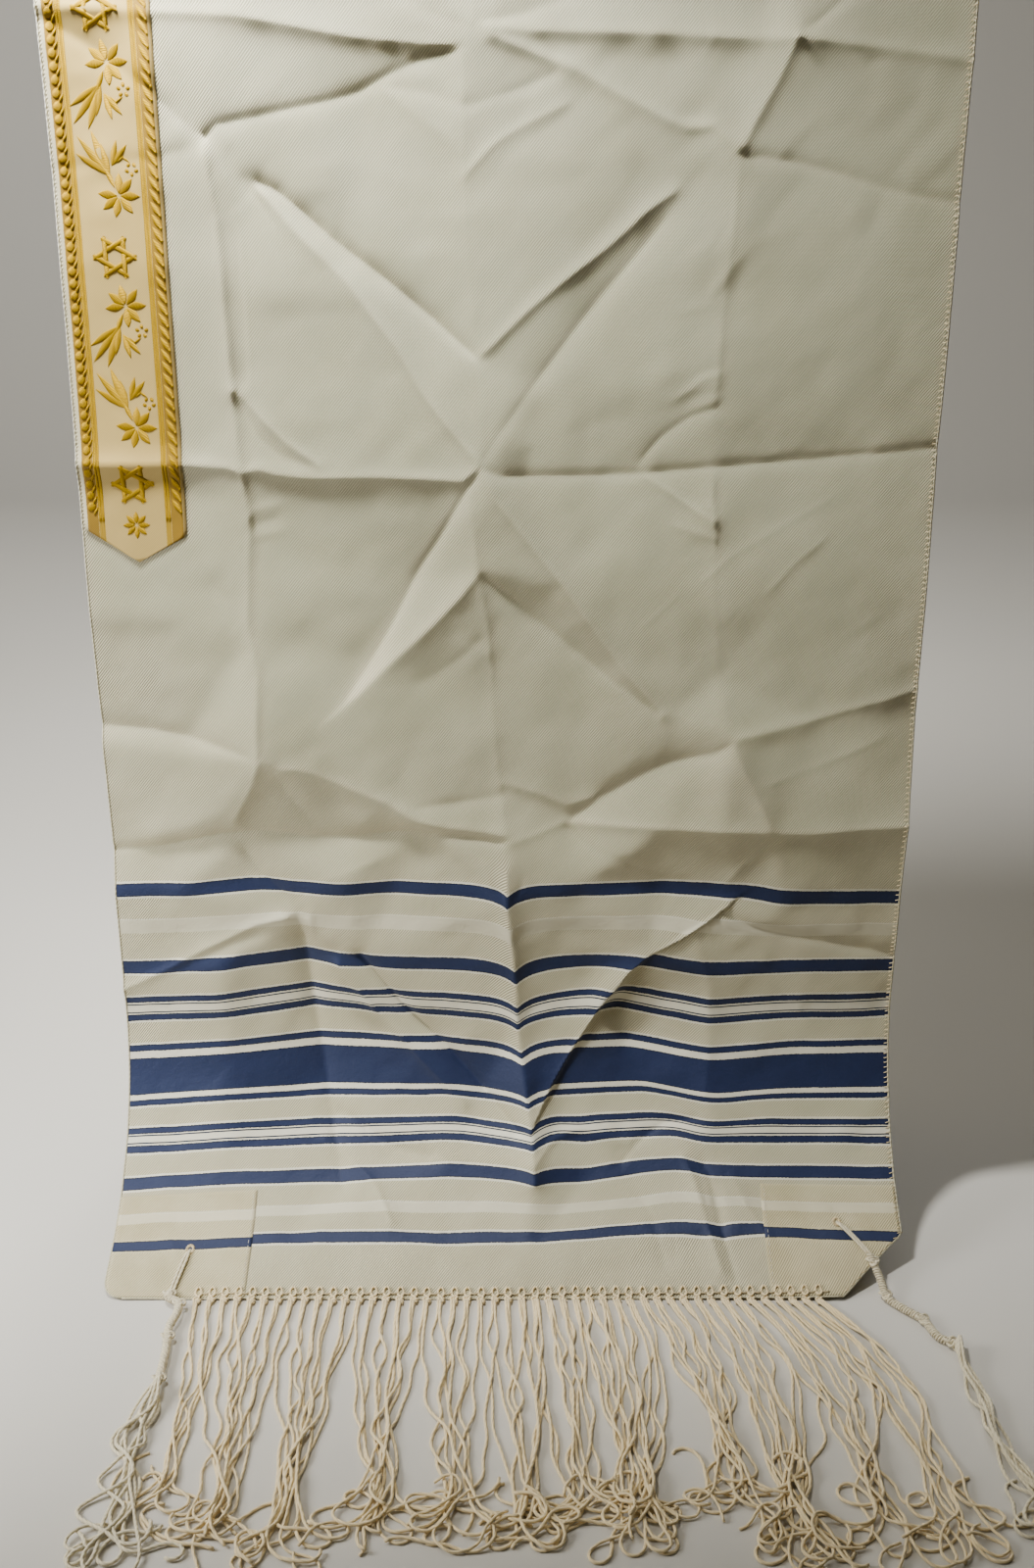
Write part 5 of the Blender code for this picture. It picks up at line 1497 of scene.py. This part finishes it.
def yarn_path(rng, knot, start):
    """The flat path of one yarn: beside its neighbours from the knot on, then into its clump's curls."""
    starts, drifts = zip(*YARN_DRIFT)
    drift = np.interp(knot, starts, drifts)
    far = knot + drift
    weights = np.array([math.exp(-(((far - across) / NEST_DRAW) ** 2)) for across, _, _ in NESTS]) + 1e-9
    across, forward, reach = NESTS[rng.choice(len(NESTS), p=weights / weights.sum())]
    run = forward - reach * rng.uniform(0.5, 1.5)
    share = np.linspace(0, 1, max(int(run / YARN_STEP), 12))
    target = across + rng.uniform(-0.6, 0.6) * reach
    pull = share**2.2 * (target - far)
    sway = SWAY * rng.standard_normal(SWAY_STATIONS)
    sway[:2] = 0
    weave = np.interp(share, np.linspace(0, 1, SWAY_STATIONS), sway)
    weave = np.convolve(np.pad(weave, 3, mode="edge"), np.ones(7) / 7, "valid")
    crimp = CRIMP * np.sin(share * run / CRIMP_RUN + rng.uniform(0, 6)) * np.minimum(share * 4, 1)
    x = start + drift * (1 - (1 - share) ** 3.0) + pull + weave + crimp
    y = BELOW_KNOT + share * run
    heading = math.atan2(x[-1] - x[-4], y[-1] - y[-4])
    home = np.array((across, forward))
    tail = curled(rng, (x[-1], y[-1]), heading, rng.uniform(*CURL_LENGTH), home, reach)
    return np.concatenate((np.stack((x, y), axis=-1), tail[1:]))


def trefoil(size):
    """A closed line through a tight overhand knot of about that size, flat on the floor."""
    turn = np.linspace(0, math.tau, KNOT_POINTS)
    x, y = np.sin(turn) + 2 * np.sin(2 * turn), np.cos(turn) - 2 * np.cos(2 * turn)
    return np.stack((x * size / 6, y * size / 6, -np.sin(3 * turn) * size / 8), axis=-1)


def helix(path, radius, pitch, phase):
    """A thread wound round a path."""
    travel = travelled(path)
    count = int(travel[-1] / pitch * HELIX_STEPS)
    wanted = np.linspace(0, travel[-1], count)
    middle = np.stack([np.interp(wanted, travel, path[:, i]) for i in range(3)], axis=-1)
    ahead = np.gradient(middle, axis=0)
    ahead /= np.linalg.norm(ahead, axis=1)[:, None]
    side = np.cross(ahead, (0.0, 0.0, 1.0))
    side /= np.maximum(np.linalg.norm(side, axis=1), 1e-6)[:, None]
    up = np.cross(side, ahead)
    turn = (math.tau * wanted / pitch + phase)[:, None]
    return middle + radius * (side * np.cos(turn) + up * np.sin(turn))


class SHAWL_OT_edging(bpy.types.Operator):
    """Sews the rolled hems, the overlocked right edges and the eyelets"""

    bl_idname = "shawl.edging"
    bl_label = "Edging and Eyelets"

    def execute(self, context):
        colours = context.scene.shawl_colours
        thread = yarn_material("overlock_thread", colours.yarn, 2, 1.5)
        hem = yarn_material("rolled_hem", [c * 0.93 for c in colours.ivory], 1, 3.0)
        stitches, rolls = Pile(), Pile()
        corner = np.linspace(HEM_STRAIGHT, HALF_LENGTH, 16)
        downs = np.concatenate((np.arange(0, HEM_STRAIGHT, 3.0), corner))
        left, right = half_edges(downs)
        bottom = left[-1] + (right[-1] - left[-1]) * np.linspace(0, 1, HEM_COLUMNS)
        edges = ((left, downs), (right, downs), (bottom, np.full(HEM_COLUMNS, HALF_LENGTH)))
        for side in (1, -1):
            for across, down in edges:
                add_tube(rolls, on_half(side, across, down, 0.0), HEM_RADIUS, 4)
            for i, start in enumerate(np.arange(30, HALF_LENGTH - 2, STITCH_PITCH)):
                limit = float(half_edges(np.array([start]))[1][0])
                lean = 0.9 + 0.3 * math.sin(i * 1.3)
                inward, down, offset = np.transpose(OVERLOCK)
                down = np.where(down > 0, down * lean, down)
                add_tube(stitches, on_half(side, limit - inward, start + down, offset), STITCH_RADIUS, 4)
            self.eyelets(stitches, side)
        for name, pile, material in (("overlock_stitches", stitches, thread), ("rolled_hems", rolls, hem)):
            pile.made(name, material)
        return {"FINISHED"}

    def eyelets(self, pile, side):
        """Stitches that run out from each eyelet's rim."""
        reach, rise = np.transpose(EYELET_STITCH)
        for across, down in EYELETS:
            for angle in np.linspace(0, math.tau, EYELET_STITCHES, endpoint=False):
                x, y = reach * math.cos(angle) * EYELET_SQUASH, reach * math.sin(angle)
                points = on_half(side, across + x, down + y, PATCH_HIGH + rise)
                add_tube(pile, points, EYELET_RADIUS, 4)


class SHAWL_OT_fringe(bpy.types.Operator):
    """Knots the fringe along both hems and lets its yarns lie in clumps on the floor"""

    bl_idname = "shawl.fringe"
    bl_label = "Fringe"

    def execute(self, context):
        colours = context.scene.shawl_colours
        material = yarn_material("fringe_yarn", colours.yarn, 2, 5.5)
        # A darker copy of the fringe yarn for the threads between the loops at the hem: painted shade.
        painted_shade_yarn = yarn_material("fringe_roots", [c * 0.62 for c in colours.yarn], 2, 4.0)
        pitch = millimetres("knot_pitch")
        radius = millimetres("yarn_width") / 2
        count = context.scene.shawl_sizes.yarns_per_knot
        knots = np.arange(FRINGE_START + pitch / 2, FRINGE_END, pitch)
        for half, side, sides, seed in (("front", 1, 6, 21), ("back", -1, 4, 37)):
            rng = np.random.default_rng(seed)
            pile, roots, row, heap = Pile(), Pile(), Pile(), Heap()
            starts = [
                (knot, knot + (i - (count - 1) / 2) * radius * 1.5)
                for knot in knots
                for i in range(count - (knot < THIN_BELOW))
            ]
            for index in rng.permutation(len(starts)):
                knot, start = starts[index]
                path = yarn_path(rng, knot, start)
                height = heap.lay(path, radius)
                rise = np.clip(1 - np.arange(len(path)) / 5, 0, 1) * KNOT_HEIGHT * 0.5
                points = on_floor(path[:, 0], path[:, 1], np.maximum(height, radius + rise))
                if side < 0:
                    # Every second point will do behind, where the last one is among them.
                    points = turned(points[::2] if len(points) % 2 else points)
                add_tube(pile, points, radius * rng.uniform(0.88, 1.1), sides)
            for i, knot in enumerate(knots):
                self.knot(row, roots, knot, i, pitch, side)
            made = pile.made(f"fringe_yarns_{half}", material)
            head = row.made(f"fringe_knots_{half}", material)
            under = roots.made(f"fringe_roots_{half}", painted_shade_yarn)
            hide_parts(f"fringe_{half}")
        return {"FINISHED"}

    def knot(self, row, roots, knot, index, pitch, side):
        """The loop through the cloth, the thread to the next loop, and the two knots below the hem."""
        lean = 0.5 * math.sin(index * 2.1)
        turn = np.linspace(0, math.tau, 13)
        across = knot + lean * 0.4 + 1.7 * np.sin(turn)
        down = HALF_LENGTH - 3.2 - 2.6 * np.cos(turn)
        loop = on_half(side, across, down, 0.9 + 0.35 * np.cos(turn * 2))
        add_tube(row, loop, LOOP_RADIUS, 4)
        across = np.linspace(knot + 1.6, knot + pitch - 1.6, 6)
        down = HALF_LENGTH - 2.6 + 0.25 * np.sin(np.linspace(0, math.pi, 6))
        # The thread to the next loop is drawn in the darker copy of the yarn, as painted shade.
        add_tube(roots, on_half(side, across, down, 0.75), LINK_RADIUS, 4)
        for turn_by, size, drop in ((0.0, KNOT_SIZE, 1.2), (1.9, KNOT_SIZE * 0.8, 3.4)):
            line = trefoil(size)
            angle = lean + turn_by + index
            x = line[:, 0] * math.cos(angle) - line[:, 1] * math.sin(angle)
            y = line[:, 0] * math.sin(angle) + line[:, 1] * math.cos(angle)
            points = on_floor(knot + x * 0.9 + lean * 0.4, drop + y, KNOT_HEIGHT * 0.55 + line[:, 2])
            add_tube(row, points if side > 0 else turned(points), KNOT_RADIUS, 4)


class SHAWL_OT_tzitzit(bpy.types.Operator):
    """Ties a tzitzit through each eyelet: two cords to the edge, windings and knots, then loose threads"""

    bl_idname = "shawl.tzitzit"
    bl_label = "Tzitzit"

    def execute(self, context):
        material = yarn_material("tzitzit_wool", context.scene.shawl_colours.cord, 2, 3.4)
        radius = millimetres("cord_width") / 2
        for half, side, seed in (("front", 1, 5), ("back", -1, 9)):
            for edge, route in TZITZIT_ROUTES.items():
                rng = np.random.default_rng(seed + len(edge))
                pile = Pile()
                for points, thickness, sides in self.threads(rng, route, radius):
                    add_tube(pile, points if side > 0 else turned(points), thickness, sides)
                made = pile.made(f"tzitzit_cords_{half}_{edge}", material)
                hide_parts(f"tzitzit_{half}_{edge}")
        return {"FINISHED"}

    def threads(self, rng, route, radius):
        """Each thread's middle line, radius and number of sides, for a front corner."""
        pieces = []
        eyelet, edge = route["eyelet"], route["edge"]
        share = np.linspace(0, 1, 12)
        for apart in (-1, 1):
            across = eyelet[0] + (edge[0] - eyelet[0]) * share
            across = across + apart * radius * 1.05 * np.minimum(share * 4, 1)
            down = eyelet[1] + (edge[1] - eyelet[1]) * share
            sunk = 1.6 * np.clip(1 - share * 9, 0, 1)
            offset = PATCH_HIGH + radius + 0.2 + 0.5 * np.sin(share * math.pi) - sunk
            pieces.append((place(across, down, offset), radius, 6))
        end = place(np.array([edge[0]]), np.array([edge[1]]), PATCH_HIGH + radius)[0]
        stops = np.array([end] + [on_floor(*stop) for stop in route["wound"]])
        core = smooth_path(stops, 1.5)
        pieces.append((core, radius * 1.5, 6))
        for phase in (0.0, math.pi):
            pieces.append((helix(core, radius * 2.1, WINDING_PITCH, phase), radius * 0.85, 4))
        travel = np.linalg.norm(np.diff(core, axis=0), axis=1).cumsum()
        for share in route["knots"]:
            middle = core[np.searchsorted(travel, share * travel[-1])]
            line = trefoil(TZITZIT_KNOT)
            pieces.append((line + middle + (0, 0, 0.6), radius * 0.95, 6))
        heap = Heap()
        last = route["wound"][-1]
        for i in range(TZITZIT_THREADS):
            path = [(last[0] + (i - 3.5) * 0.5, last[1])]
            for across, forward in route["strands"]:
                apart = rng.uniform(-1, 1) * route["spread"] * forward / SPREAD_AT
                path.append((across + apart, forward + rng.uniform(-4, 4)))
            flat = smooth_path(np.column_stack((np.array(path), np.zeros(len(path)))), YARN_STEP)[:, :2]
            heading = math.atan2(*(flat[-1] - flat[-3]))
            tail = curled(rng, flat[-1], heading, rng.uniform(15, 60), flat[-1] - (0, 8), 14)
            flat = np.concatenate((flat, tail[1:]))
            over = route["over"] * np.clip(1 - (flat[:, 1] - last[1]) / 60, 0.3, 1)
            height = heap.lay(flat, radius) + over
            pieces.append((on_floor(flat[:, 0], flat[:, 1], height), radius * rng.uniform(0.95, 1.15), 6))
        return pieces


class SHAWL_OT_rod(bpy.types.Operator):
    """Gives the rod its finish"""

    bl_idname = "shawl.rod"
    bl_label = "Rod Finish"

    def execute(self, context):
        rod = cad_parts["rod"]
        for held in rod.material_slots:
            held.material = painted_wood_material(context.scene.shawl_colours)
        return {"FINISHED"}


class SHAWL_OT_stage(bpy.types.Operator):
    """Sets up the paper sweep, the lights and the camera"""

    bl_idname = "shawl.stage"
    bl_label = "Stage"

    def execute(self, context):
        start_shape()
        bpy.ops.mesh.primitive_plane_add(size=1, location=(0, 0, 0))
        paper = context.object
        paper.name = "paper_sweep"
        paper.scale = (STAGE_WIDTH, STAGE_DEPTH, 1)
        paper.location = (0, STAGE_BACK - STAGE_DEPTH / 2, FLOOR * MM)
        bpy.ops.object.transform_apply(location=True, rotation=True, scale=True)
        bpy.ops.object.mode_set(mode="EDIT")
        bm = bmesh.from_edit_mesh(paper.data)
        for edge in bm.edges:
            edge.select_set(all(v.co.y > STAGE_BACK - NEAR for v in edge.verts))
        bmesh.update_edit_mesh(paper.data)
        bpy.ops.mesh.extrude_region_move(TRANSFORM_OT_translate={"value": (0, 0, STAGE_HEIGHT)})
        bm = bmesh.from_edit_mesh(paper.data)
        for edge in bm.edges:
            at_back = all(v.co.y > STAGE_BACK - NEAR for v in edge.verts)
            at_floor = all(v.co.z < FLOOR * MM + NEAR for v in edge.verts)
            edge.select_set(at_back and at_floor)
        bmesh.update_edit_mesh(paper.data)
        bpy.ops.mesh.bevel(offset=STAGE_BEND, segments=STAGE_SEGMENTS, affect="EDGES")
        bpy.ops.object.mode_set(mode="OBJECT")
        bpy.ops.object.shade_smooth()
        paper.data.materials.append(paper_material(context.scene.shawl_colours))
        for name, location, aim, size, spread, power in LIGHTS:
            bpy.ops.object.light_add(type="AREA", location=location)
            light = context.object
            light.name = name
            light.data.shape = "DISK"
            light.data.size = size
            light.data.spread = math.radians(spread)
            light.visible_camera = False
            light.data.energy = power
            light.rotation_euler = (Vector(aim) - Vector(location)).to_track_quat("-Z", "Y").to_euler()
        world = bpy.data.worlds.new("studio")
        world.use_nodes = True
        background = world.node_tree.nodes["Background"]
        background.inputs["Color"].default_value = (*linear(WORLD_COLOUR), 1.0)
        background.inputs["Strength"].default_value = WORLD_STRENGTH
        context.scene.world = world
        bpy.ops.object.camera_add(location=[v * MM for v in CAMERA_PLACE], rotation=(CAMERA_TILT, 0, 0))
        camera = context.object
        camera.data.sensor_width = CAMERA_SENSOR
        camera.data.lens = CAMERA_LENS
        context.scene.camera = camera
        return {"FINISHED"}


class SHAWL_PT_panel(bpy.types.Panel):
    """Lists the shawl's sizes, colours and pieces"""

    bl_idname = "SHAWL_PT_panel"
    bl_label = "Prayer Shawl"
    bl_space_type = "VIEW_3D"
    bl_region_type = "UI"
    bl_category = "Shawl"

    def draw(self, context):
        for group in (context.scene.shawl_sizes, context.scene.shawl_colours):
            box = self.layout.box()
            for name in group.__annotations__:
                box.prop(group, name)
        for operator in OPERATORS:
            self.layout.operator(operator.bl_idname)


OPERATORS = (
    SHAWL_OT_cloth,
    SHAWL_OT_neckband,
    SHAWL_OT_band_motifs,
    SHAWL_OT_patches,
    SHAWL_OT_edging,
    SHAWL_OT_fringe,
    SHAWL_OT_tzitzit,
    SHAWL_OT_rod,
    SHAWL_OT_stage,
)
CLASSES = (ShawlColours, ShawlSizes, *OPERATORS, SHAWL_PT_panel)


def register():
    for item in CLASSES:
        bpy.utils.register_class(item)
    bpy.types.Scene.shawl_colours = PointerProperty(type=ShawlColours)
    bpy.types.Scene.shawl_sizes = PointerProperty(type=ShawlSizes)


def unregister():
    del bpy.types.Scene.shawl_sizes
    del bpy.types.Scene.shawl_colours
    for item in reversed(CLASSES):
        bpy.utils.unregister_class(item)


def main():
    register()
    for operator in OPERATORS:
        group, name = operator.bl_idname.split(".")
        getattr(getattr(bpy.ops, group), name)()


if __name__ == "__main__":
    main()
